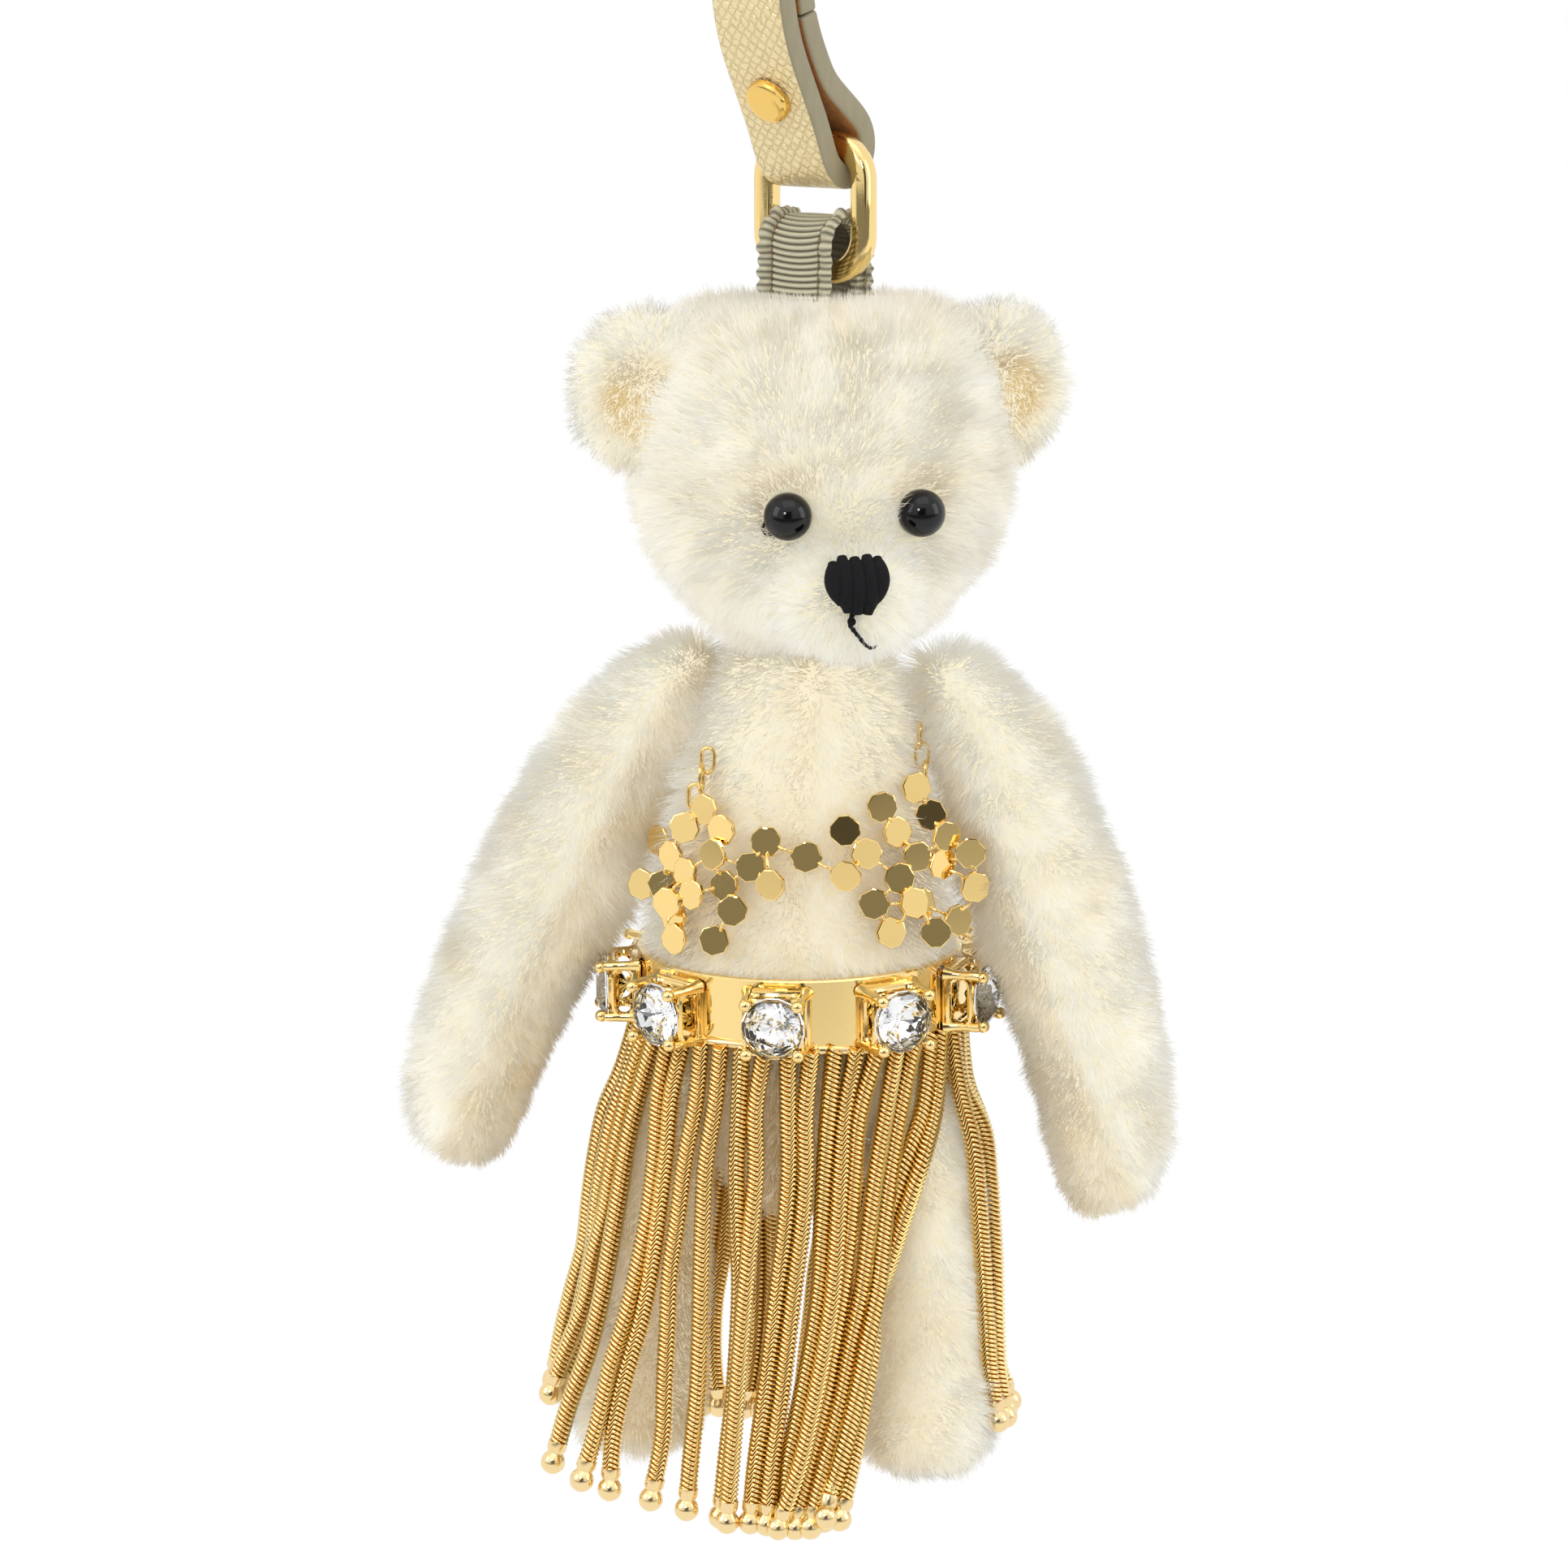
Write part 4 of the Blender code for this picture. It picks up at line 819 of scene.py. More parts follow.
def lofted(stations, side=1, inset=0.0, steps=20):
    """A closed bmesh through rings (height, x, y, half width, half depth)."""
    bm = bmesh.new()
    order = bmesh.ops.create_circle(bm, cap_ends=True, segments=steps, radius=1)["verts"]
    angles = [math.atan2(v.co.y, v.co.x) for v in order]
    edges = list(bm.edges)
    rows = sorted(stations, reverse=True)
    for i, (z, x, y, wide, deep) in enumerate(rows):
        if i:
            order, edges = next_ring(bm, order, edges)
        lift = -inset if i == 0 else inset if i == len(rows) - 1 else 0.0
        for v, a in zip(order, angles):
            v.co = (side * (x + max(wide - inset, 0.6) * math.cos(a)),
                    y + max(deep - inset, 0.6) * math.sin(a), z + lift)
    bmesh.ops.contextual_create(bm, geom=edges)
    bmesh.ops.recalc_face_normals(bm, faces=bm.faces)
    return bm


def stuffed_skin(name, bm, voxel=0.9, rounds=8):
    """Remeshes and relaxes the loft, and returns its mesh in millimetres."""
    mesh = to_mesh(name, bm)
    mesh.transform(Matrix.Scale(MM, 4))
    obj = linked(name, mesh)
    soft = obj.modifiers.new("crown", "SUBSURF")
    soft.levels = soft.render_levels = 1
    even = obj.modifiers.new("even faces", "REMESH")
    even.mode, even.voxel_size = "VOXEL", voxel * MM
    calm = obj.modifiers.new("relax", "SMOOTH")
    calm.factor, calm.iterations = 0.5, rounds
    mesh = applied(obj)
    mesh.transform(Matrix.Scale(1 / MM, 4))
    return mesh

# %% Outlines of the skins
HEAD_RINGS = [
    (0.15, 0, -3.0, 7.0, 7.4), (1.6, 0, -3.4, 9.4, 9.6), (4.2, 0, -3.8, 12.2, 12.4),
    (8.0, 0, -4.0, 16.0, 14.8), (13, 0, -4.0, 18.7, 16.4), (18, 0, -4.0, 18.8, 16.5),
    (23, 0, -3.7, 18.0, 15.8), (27.6, 0, -3.3, 16.6, 14.4), (30.8, 0, -3.0, 16.2, 12.6),
    (32.8, 0, -2.8, 13.6, 10.4), (33.7, 0, -2.6, 8.4, 6.4),
]
TORSO_RINGS = [
    (-0.3, 0, 0, 7.0, 7.0), (-2.4, 0, 0, 8.6, 8.2), (-5.6, 0, 0, 10.2, 9.0),
    (-12, 0, -0.3, 11.8, 10.2), (-20, 0, -0.5, 13.4, 11.6), (-28, 0, -0.5, 14.6, 12.6),
    (-34, 0, -0.3, 14.9, 12.9), (-38.4, 0, 0, 13.8, 12.3), (-41.6, 0, 0, 10.4, 11.6),
    (-44.2, 0, 0, 8.2, 11.0), (-49, 0, 0, 7.9, 10.2), (-53.6, 0, 0, 6.8, 8.4),
    (-57.0, 0, 0, 3.6, 4.4),
]
ARM_RINGS = [
    (4.5, 3.1, 0, 1.6, 1.8), (3.2, 3.5, 0, 3.1, 3.5), (0, 4.3, 0, 4.1, 4.9),
    (-5, 5.3, -0.1, 5.2, 5.7), (-12, 6.1, -0.2, 6.0, 6.2), (-24, 6.0, -0.4, 6.4, 6.4),
    (-36, 4.9, -0.6, 6.2, 6.2), (-45, 3.3, -0.8, 5.9, 5.9), (-50.5, 1.8, -1.0, 5.2, 5.2),
    (-53.2, 0.9, -1.0, 2.8, 2.8),
]
LEG_RINGS = [
    (6.3, 4.6, 0, 1.8, 2.4), (4.6, 4.6, 0, 3.4, 5.0), (0, 4.8, 0, 4.5, 7.0),
    (-7, 4.9, 0, 5.2, 7.0), (-15, 5.0, 0.2, 5.8, 6.5), (-21.5, 5.1, 0.4, 5.9, 6.2),
    (-26.0, 5.3, -0.8, 6.3, 7.4), (-29.0, 5.4, -1.8, 6.6, 8.6), (-31.2, 5.4, -1.8, 5.6, 7.4),
    (-32.0, 5.4, -1.8, 3.2, 4.6),
]
PILE_DEPTH, LIMB_DEPTH = 1.2, 0.2  # how far a skin lies inside the outline that its pile reaches
EAR_SIZE = (6.7, 1.8, 7.5)
ear_place = {k: placed((17.7 * s, -5.0, 25.6), (0, 0, 14 * s), head_place)
             for k, s in SIDES.items()}

# %% Ears and arms
def ear_skin(side):
    """A flat ball with a dish pressed into its front, and a thick root towards the head."""
    bm = bmesh.new()
    for v in ball(bm, EAR_SIZE, (28, 18)):
        off = math.hypot(v.co.x, v.co.z + 1.0) / 5.0
        if v.co.y < 0 and off < 1:
            v.co.y += 1.5 * (1 - off**2) ** 1.5
    ball(bm, (4.2, 3.0, 6.4), matrix=placed((-5.6 * side, 1.0, -0.6), (0, 30 * side, 0)))
    ball(bm, (5.4, 2.6, 4.0), matrix=placed((-5.0 * side, 0.6, 2.6)))
    return bm


def arm_rings(side):
    """The arm's rings, swayed a little: this bear's arms don't hang alike."""
    top, foot = (0.4, -1.2) if side > 0 else (-1.1, 0.8)
    rings = []
    for z, x, y, wide, deep in ARM_RINGS:
        t = min(max(-z / 53, 0), 1)
        pressed = 1.1 * math.exp(-((z + 26) / 9) ** 2)
        rings.append((z, x + top * (1 - t) ** 2 + foot * t * t - pressed, y,
                      wide + 0.9 * pressed, deep))
    return rings

# %% Skins on their bodies
bm = lofted(HEAD_RINGS, inset=PILE_DEPTH, steps=24)
ball(bm, (8 - PILE_DEPTH, 8.5 - PILE_DEPTH, 6.9 - PILE_DEPTH), matrix=placed((0, -14.6, 6.8)))
skins = {
    "head": ("head", head_place, stuffed_skin("head_skin", bm, rounds=6)),
    "torso": ("torso", torso_place,
              stuffed_skin("torso_skin", lofted(TORSO_RINGS, inset=LIMB_DEPTH))),
}
for k, s in SIDES.items():
    skins[f"ear_{k}"] = ("head", ear_place[k], stuffed_skin(f"ear_skin_{k}", ear_skin(s), 0.6, 3))
    skins[f"arm_{k}"] = (f"arm_{k}", arm_place[k],
                         stuffed_skin(f"arm_skin_{k}", lofted(arm_rings(s), s, LIMB_DEPTH)))
    skins[f"leg_{k}"] = (f"leg_{k}", leg_place[k],
                         stuffed_skin(f"leg_skin_{k}", lofted(LEG_RINGS, s, LIMB_DEPTH)))
for part, (body, place, mesh) in skins.items():
    skin = shown(f"{part}_skin", mesh.copy(), backing, body, place, part)
    skin.visible_shadow = skin.visible_diffuse = False
print({part: len(mesh.polygons) for part, (_, _, mesh) in skins.items()})

# %% [markdown]
# ## The pile
# Mohair is a long curly pile. One hair is a thin closed spike: a three-sided cone, or the same cone
# cut once across so that it can bend. Thousands are set on the skin. Hairs near each other lean
# towards the same tip, which draws them into small tufts, and each hair carries its own tone in a
# map: across is tan to ivory, along is root to tip. The tone holds painted shade as well as the
# pile's own colours, and the root end is painted darker as shade down in the pile.

# %% One hair
def cut_across(bm, z):
    """Cuts every face across at a height."""
    bmesh.ops.bisect_plane(bm, geom=[*bm.verts, *bm.edges, *bm.faces], plane_co=(0, 0, z),
                           plane_no=(0, 0, 1))


def as_arrays(bm):
    """The bmesh as an array of points and a list of faces. The bmesh is freed."""
    bmesh.ops.recalc_face_normals(bm, faces=bm.faces)
    bm.verts.index_update()
    points = np.array([v.co[:] for v in bm.verts])
    faces = [[v.index for v in f.verts] for f in bm.faces]
    bm.free()
    return points, faces


def hair_shape(cuts=()):
    bm = bmesh.new()
    bmesh.ops.create_cone(bm, cap_ends=True, segments=3, radius1=1, radius2=0, depth=1)
    bmesh.ops.translate(bm, verts=bm.verts, vec=(0, 0, 0.5))
    bmesh.ops.remove_doubles(bm, verts=bm.verts, dist=1e-4)
    for z in cuts:
        cut_across(bm, z)
    return as_arrays(bm)


STRAIGHT_HAIR, CURLED_HAIR = hair_shape(), hair_shape([0.45])
HAIR_R, TUFT, PER_TUFT, CURLED = 0.055, 0.4, 16, 0.16  # radius, pull, hairs a tuft, share curled
SOFT = 0.22  # how much of its own roundness a hair shows: the rest of its shading is the skin's
GLOW = np.array([0, -0.5, 0.32])  # light passes through thin hair, so it is shaded to the lamps
THIN = 1
print("a hair has", len(STRAIGHT_HAIR[1]), "or", len(CURLED_HAIR[1]), "faces")

# %% Setting hairs on a skin
def swirl(p, seed, scale):
    """Smooth noise from crossed waves, about -1 to 1."""
    waves = np.random.default_rng(seed)
    total = np.zeros(len(p))
    for k in range(5):
        way = unit(waves.normal(size=3))
        total += np.sin(p @ way * 2 * np.pi / (scale * (0.7 + 0.25 * k)) + waves.uniform(0, 6.28))
    return total / 2.6


def rooted(mesh, count, rng):
    """Points spread evenly over a mesh, with the smooth outward direction at each."""
    mesh.calc_loop_triangles()
    corners = np.empty(len(mesh.loop_triangles) * 3, np.int32)
    mesh.loop_triangles.foreach_get("vertices", corners)
    corners = corners.reshape(-1, 3)
    place, normal = (np.empty(len(mesh.vertices) * 3, np.float32) for _ in range(2))
    mesh.vertices.foreach_get("co", place)
    mesh.vertices.foreach_get("normal", normal)
    a, b, c = place.reshape(-1, 3)[corners].transpose(1, 0, 2).astype(float)
    area = np.linalg.norm(np.cross(b - a, c - a), axis=1)
    pick = rng.choice(len(area), count, p=area / area.sum())
    u, v = rng.random((2, count))
    u, v = np.where(u + v > 1, [1 - u, 1 - v], [u, v])
    share = np.stack([1 - u - v, u, v], axis=1)[:, :, None]
    out = (normal.reshape(-1, 3)[corners[pick]] * share).sum(axis=1)
    return (np.stack([a, b, c], axis=1)[pick] * share).sum(axis=1), unit(out)

# %% One mesh of many copies
def stamped(name, batches):
    """One mesh of many copies. A batch is n x k points, one copy's faces and every corner's map."""
    points, corners, sizes, charts, start = [], [], [], [], 0
    for spots, faces, chart in batches:
        n, k = spots.shape[:2]
        flat = np.concatenate(faces)
        points.append(spots.reshape(-1, 3))
        corners.append((start + k * np.arange(n)[:, None] + flat[None]).ravel())
        sizes.append(np.tile([len(f) for f in faces], n))
        charts.append(chart.reshape(-1, 2))
        start += n * k
    corners, sizes = np.concatenate(corners), np.concatenate(sizes)
    mesh = bpy.data.meshes.new(name)
    mesh.vertices.add(start)
    mesh.vertices.foreach_set("co", np.concatenate(points).astype(np.float32).ravel())
    mesh.loops.add(len(corners))
    mesh.loops.foreach_set("vertex_index", corners.astype(np.int32))
    mesh.polygons.add(len(sizes))
    mesh.polygons.foreach_set("loop_start", (np.cumsum(sizes) - sizes).astype(np.int32))
    uv = mesh.uv_layers.new(name="OFBake")
    uv.data.foreach_set("uv", np.concatenate(charts).astype(np.float32).ravel())
    mesh.update(calc_edges=True)
    return mesh


def hair_copies(shape, root, out, reach, curl, thick, tone):
    """A hair at every root, laid along `reach` and bent by `curl`, with its map and normals."""
    points, faces = shape
    one = unit(np.cross(reach, out + 1e-3))
    two = unit(np.cross(reach, one))
    round_way = points[None, :, :1] * one[:, None] + points[None, :, 1:2] * two[:, None]
    height = points[None, :, 2:]
    spots = (root[:, None] + thick[:, None, None] * round_way + height * reach[:, None]
             + height * (1 - height) * curl[:, None])
    x, _, z = points[np.concatenate(faces)].T
    across = np.clip(tone, 0.01, 0.99)[:, None] + x * 0.003 * (1 - z)
    along = np.broadcast_to(0.02 + 0.96 * z, across.shape)
    normals = unit(out[:, None] + GLOW + SOFT * unit(round_way))
    return (spots, faces, np.stack([across, along], axis=2)), normals

# %% The pile of one part
def furred(part, count, lay, length, tone, size, rise, seed, keep=None, pieces=1):
    """Grows the pile of one part. `lay` gives each root the way its hair lies."""
    body, place, mesh = skins[part]
    rng = np.random.default_rng(seed)
    count //= THIN
    root, out = rooted(mesh, count, rng)
    flow = lay(root, out)
    flow = unit(flow - out * (flow * out).sum(axis=1, keepdims=True))
    turn = 0.6 * swirl(root, seed + 7, 9.0) + 0.42 * rng.normal(size=count)
    flow = flow * np.cos(turn)[:, None] + np.cross(out, flow) * np.sin(turn)[:, None]
    up = rise * (1 + 0.35 * swirl(root, seed + 9, 5.0) + 0.3 * rng.normal(size=count))
    way = unit(flow + out * np.tan(np.clip(up, 0.12, 1.35))[:, None])
    long = length * rng.uniform(0.62, 1.15, count) * (1 + 0.12 * swirl(root, seed + 3, 4.0))
    long = long * size(root)
    tip = root + way * long[:, None]
    # Neighbours share a tuft: the nearest of the chosen leaders pulls each tip in.
    leaders = rng.choice(count, max(count // PER_TUFT, 4), replace=False)
    tree = KDTree(len(leaders))
    for i, k in enumerate(leaders):
        tree.insert(root[k], i)
    tree.balance()
    mine = leaders[np.array([tree.find(p)[1] for p in root])]
    tip = tip + (tip[mine] - tip) * TUFT * rng.uniform(0.4, 1.0, count)[:, None]
    curl = (out * 0.9 - flow * 0.5) * (long * rng.uniform(0.2, 0.9, count))[:, None]
    # Each hair's shade is its tone: a random tone plus its part's own colours and the painted shade
    # from its tone function.
    shade = 0.86 + 0.05 * swirl(root, seed + 5, 6.5) + 0.035 * rng.normal(size=count)[mine]
    shade = shade + 0.02 * rng.normal(size=count) + tone(root)
    chosen = np.flatnonzero(keep(root, tip)) if keep else np.arange(count)
    facts = (root, out, tip - root, curl, HAIR_R * rng.uniform(0.75, 1.2, count), shade)
    for number, share in enumerate(np.array_split(chosen, pieces)):
        bends = rng.random(len(share)) < CURLED
        label = f"{part}_pile" + (f"_{number + 1}" if pieces > 1 else "")
        batches, normals = zip(*(hair_copies(shape, *(fact[who] for fact in facts))
                                 for shape, who in ((STRAIGHT_HAIR, share[~bends]),
                                                    (CURLED_HAIR, share[bends]))))
        pile = shown(label, stamped(label, batches), mohair, body, place)
        normals = np.concatenate([way.reshape(-1, 3) for way in normals])
        pile.data.normals_split_custom_set_from_vertices(normals @ np.array(place.to_3x3()).T)
        pile.visible_shadow = pile.visible_diffuse = False
    print(part, "pile:", len(chosen), "hairs")

# %% [markdown]
# ### Which way the pile lies
# On the head it grows away from the nose, over the brow and down the cheeks. On the limbs it is
# combed down. The seams show tan, where the pile parts and the cloth shows between the hairs.
# Tan is also painted in as shade: in the ear hollows and eye sockets, under the head and neck, on
# the inner faces of the limbs and behind the chains, since the pile, skins and chains cast no
# shadow.

# %% Head and ears
NOSE = np.array([-0.7, -21.8, 8.6])
EYES = np.array([[6.5 * s, -18.4, 14.7] for s in SIDES.values()])
NOSE_BLOCK, NOSE_HALF = np.array([-0.7, -22.2, 8.4]), [2.95, 2.6, 2.75]


def soft_step(value, low, high):
    t = np.clip((value - low) / (high - low), 0, 1)
    return t * t * (3 - 2 * t)


def near_zero(value, low, high):
    """1 within `low` of zero and 0 beyond `high`."""
    return 1 - soft_step(np.abs(value), low, high)


def from_nose(p, out):
    return unit(p - NOSE) + [0, 0, -0.55] * soft_step(p[:, 1], -16, -4)[:, None]


def head_length(p):
    return 0.55 + 0.45 * soft_step(np.linalg.norm(p - NOSE, axis=1), 3.0, 11.0)


def head_tone_and_shade(p):
    """White round the nose, tan in the seam, the brow and the crown; painted shade in the eye
    sockets and under the chin.
    """
    # Painted shade: darker in the eye sockets and at the bottom of the head.
    eyes = np.linalg.norm(p[:, None] - (EYES + [0, 0, 1.2])[None], axis=2).min(axis=1)
    return (0.22 * near_zero(np.linalg.norm(p - NOSE, axis=1), 6.0, 11.0)
            - 0.25 * near_zero(eyes, 2.2, 4.2)
            - 0.08 * near_zero(p[:, 0], 0.2, 1.6) * soft_step(p[:, 2], 17, 20)
            - 0.09 * near_zero(p[:, 2] - 17.5, 1.0, 4.0) * (p[:, 1] < -8)
            - 0.1 * (1 - soft_step(p[:, 2], 0.5, 5.0)) - 0.1 * soft_step(p[:, 2], 25, 33))


def clear_of_face(p, tip):
    """Which hairs keep off the eyes and the nose, by their roots, middles and tips."""
    good = np.ones(len(p), bool)
    for t, gap in ((0.0, 2.55), (0.5, 2.55), (1.0, 2.35)):
        at = p + (tip - p) * t
        for eye in EYES:
            good &= np.linalg.norm(at - eye, axis=1) > gap
        good &= np.linalg.norm((at - NOSE_BLOCK) / NOSE_HALF, axis=1) > 1
    return good


def ear_lay(p, out):
    return unit(p * [1.0, 0.0, 1.0]) + [0, 0.25, -0.25]


def in_dish(p, low, high):
    return near_zero(np.hypot(p[:, 0], p[:, 2] + 1.0), low, high) * (p[:, 1] < 0.2)


def ear_tone_and_shade(p):
    # Painted shade: darker in the ear's hollow and at its root against the head.
    root = (1 - soft_step(p[:, 2], -7.5, -4)) * (p[:, 1] < 0)
    return 0.06 - 0.85 * in_dish(p, 2.5, 5.2) - 0.3 * root


def ear_length(p):
    return 0.95 - 0.5 * in_dish(p, 2.0, 5.6)


furred("head", 86000, from_nose, 2.5, head_tone_and_shade, head_length, 1.02, 11, clear_of_face, pieces=3)
for i, k in enumerate(SIDES):
    furred(f"ear_{k}", 14000, ear_lay, 2.2, ear_tone_and_shade, ear_length, 0.95, 21 + i)

# %% Torso, arms and legs
def combed_down(p, out):
    way = np.zeros_like(p)
    way[:, 2] = -1
    way[:, 0] = 0.25 * np.sign(p[:, 0]) * soft_step(np.abs(p[:, 0]), 0, 2.5) * (p[:, 1] < 0)
    return way


def torso_tone_and_shade(p):
    """Tan in the seam; painted shade under the neck, and deep painted shade below the belt, behind
    the chains.
    """
    return (-0.3 * near_zero(p[:, 0] - 0.8, 0.3, 2.2) * (p[:, 1] < 0)
            - 0.08 * soft_step(p[:, 2], -6.0, -1.0)
            - 0.5 * (1 - soft_step(p[:, 2], -42, -37)) - 0.05)


def torso_length(p):
    """Short under the belt and the plates, long at the flanks."""
    belt = near_zero(p[:, 2] + 34.4, 2.4, 3.4)
    plates = near_zero(p[:, 2] + 20.5, 7.5, 9.5) * (p[:, 1] < 0)
    flanks = soft_step(np.abs(p[:, 0]), 8, 11) * (p[:, 2] > -31)
    return 1 - 0.62 * belt - 0.38 * plates * (1 - flanks) + 0.3 * flanks - 0.2 * (p[:, 2] < -40)


def limb_tone_and_shade(side, deep):
    """Ivory outside, tan in the sewn seam, and painted shade on the inner face, towards the body.
    """
    def tone(p):
        # The inner face's darkening is painted shade, mottled by a random tone.
        inner = (deep * (1 - soft_step(p[:, 0] * side, 0.0, 3.5))
                 + 0.16 * np.minimum(swirl(p, 61, 7.0), 0))
        seam = -0.2 * near_zero(p[:, 0] * side - 2.2, 0.2, 1.5) * (p[:, 1] < 0)
        return 0.06 + inner + seam
    return tone


def arm_length(side):
    """Short beside the belt, long towards the flank."""
    def long(p):
        near_belt = (1 - soft_step(p[:, 0] * side, -0.5, 2.5)) * soft_step(-p[:, 2], 26, 30)
        beside = 0.4 * (1 - soft_step(p[:, 0] * side, 0.5, 4.0)) * soft_step(p[:, 2], -30, -22)
        return (1.0 - 0.3 * near_belt + beside) * (1 - 0.25 * (p[:, 2] < -52))
    return long


def leg_tone_and_shade(side):
    """Like a limb, with the chains' shadow painted on in golden tan where they cover it."""
    def tone(p):
        # Painted shadow of the chains, which cast none themselves.
        covered = (1 - soft_step(p[:, 0] * side, 6.5, 9.5)) * soft_step(p[:, 2], -33, -27)
        return limb_tone_and_shade(side, -0.05)(p) - (0.08 if side > 0 else 0.45) * covered
    return tone


def leg_length(side):
    """Short under the chains, full on the open side of the foot."""
    def long(p):
        covered = (1 - soft_step(p[:, 0] * side, 5.5, 9.0)) * soft_step(p[:, 2], -34, -24)
        return 1.0 - 0.55 * covered
    return long


furred("torso", 42000, combed_down, 2.4, torso_tone_and_shade, torso_length, 0.95, 31, pieces=2)
for i, (k, s) in enumerate(SIDES.items()):
    furred(f"arm_{k}", 44000, combed_down, 2.5, limb_tone_and_shade(s, -0.34), arm_length(s), 1.0, 41 + i,
           pieces=2)
    furred(f"leg_{k}", 28000, combed_down, 2.4, leg_tone_and_shade(s), leg_length(s), 0.85, 51 + i)

# %% [markdown]
# ## Eyes
# Polished black beads on a wire shank. A dome spun from half its outline is smoother than a ball
# made of rows and has no seam towards the viewer. The shank's loop shows beside one bead.

# %% Eyes
black_glass = worn_smooth("black_glass", (0.003, 0.003, 0.004), 0.03, 0.0, 0.02, 0.09, 200.0,
                          IOR=1.42)[0]


def tube(bm, points, radius, sides=10):
    """A round wire through points. `radius` is one number or one per point."""
    points = [Vector(p) for p in points]
    radii = [radius] * len(points) if isinstance(radius, float) else radius
    ways = [(points[min(i + 1, len(points) - 1)] - points[max(i - 1, 0)]).normalized()
            for i in range(len(points))]
    order = bmesh.ops.create_circle(bm, cap_ends=True, segments=sides, radius=1)["verts"]
    edges = list({e for v in order for e in v.link_edges})
    outline = [v.co.copy() for v in order]
    turn = Vector((0, 0, 1)).rotation_difference(ways[0])
    for i, (at, r) in enumerate(zip(points, radii)):
        if i:
            order, edges = next_ring(bm, order, edges)
            turn = ways[i - 1].rotation_difference(ways[i]) @ turn
        for v, flat in zip(order, outline):
            v.co = at + turn @ (flat * r)
    bmesh.ops.contextual_create(bm, geom=edges)

# %% Beads
BEAD_R = 2.3
dome = arc(BEAD_R, (0, 0), 90, -78, 22)
shank = [(-1.95 + 0.55 * c, -1.25 + 0.62 * s, -0.7 + 0.2 * s)
         for c, s in arc(1, (0, 0), 60, 330, 14)]
for eye, (k, s) in zip(EYES, SIDES.items()):
    bm = bmesh.new()
    lathe(bm, [*dome, (0.4, -2.6), (0.4, -4.2), (0, -4.2)], 48)
    if k == "right":
        tube(bm, shank, 0.17, 8)
    finished(f"bead_eye_{k}", bm, black_glass, "head",
             placed(eye, (90, 0, 20 * s), head_place), f"eye_{k}")

# %% [markdown]
# ## Nose and mouth
# The nose is five fat satin stitches laid side by side in thick black thread, with rounded tops at
# uneven heights. Under it hangs one short thread for the mouth. Each stitch is a tapered tube, so
# the grooves between them are real.

# %% Nose and mouth
black_floss = fibrous("black_floss", (0.006, 0.006, 0.007), 0.9,
                      ((0.002, 0.002, 0.003), (0.016, 0.016, 0.018)), 1500.0, (0.9, 0.00025),
                      (2.2, 2.2, 0.35), IOR=1.3)
# How far across each stitch is, its top and low ends, how fat it is and how far its foot sweeps.
STITCHES = ((-2.25, 2.2, -1.7, 1.0, 0.75), (-1.3, 2.75, -2.5, 1.1, 0.4),
            (-0.1, 2.6, -2.7, 1.15, 0.0), (1.1, 2.8, -2.75, 1.12, -0.25),
            (2.1, 2.6, -1.9, 1.0, -0.85))
bm = bmesh.new()
for x, top, low, fat, sweep in STITCHES:
    path, radii = [], []
    for t in np.linspace(0, 1, 15):
        belly = math.sin(math.pi * min(max(t, 0.04), 0.96)) ** 0.42
        path.append((x + sweep * max(t - 0.45, 0) ** 1.5 * 2.2,
                     -0.7 - 0.6 * math.sin(math.pi * t), top + (low - top) * t))
        radii.append(max(fat * belly, 0.1))
    tube(bm, path, radii, 14)
ball(bm, (2.6, 1.4, 2.5), (20, 12), placed((0.1, 0.0, 0.1)))
finished("satin_nose", bm, black_floss, "head",
         placed((-0.7, -21.6, 8.3), (-14, 0, 0), head_place), "nose", merge=0)

bm = bmesh.new()
mouth = curve_through([(-1.0, -22.0, 5.8), (-1.3, -22.0, 4.9), (-1.0, -21.8, 4.3),
                       (-0.3, -21.3, 3.5), (0.5, -20.6, 2.6), (1.3, -19.8, 2.1),
                       (2.0, -19.0, 2.2)], 5)
tube(bm, mouth, [0.25 - 0.004 * i + 0.04 * math.sin(1.9 * i) for i in range(len(mouth))], 8)
ball(bm, 0.42, (10, 8), placed((-1.1, -21.9, 5.0)))
finished("mouth_thread", bm, black_floss, "head", head_place, merge=0)
print("face done")

# %% [markdown]
# ## The plate top
# Two cups and a bridge of small plates, joined edge to edge by bent wire. A plate is a flat square
# with its corners cut and its front rim bevelled, so that the rim catches light apart from the
# face. The plates hang loosely and each faces its own way, which makes them flicker.

# %% Places on the torso
def outline_at(rings, heights):
    """Middle and half widths of a skin at one height or several, before it is drawn in."""
    rows = np.array(sorted(rings))
    return np.stack([np.interp(heights, rows[:, 0], rows[:, k]) for k in range(1, 5)], axis=-1)


def on_front(x, z, lift):
    """A point lifted off the torso's front, and the outward direction there."""
    cx, cy, wide, deep = outline_at(TORSO_RINGS, z).tolist()
    far = math.sqrt(1 - min(abs(x - cx) / wide, 0.985) ** 2)
    out = Vector(((x - cx) / wide**2, -far / deep, 0)).normalized()
    return Vector((x, cy - deep * far, z)) + out * lift, out

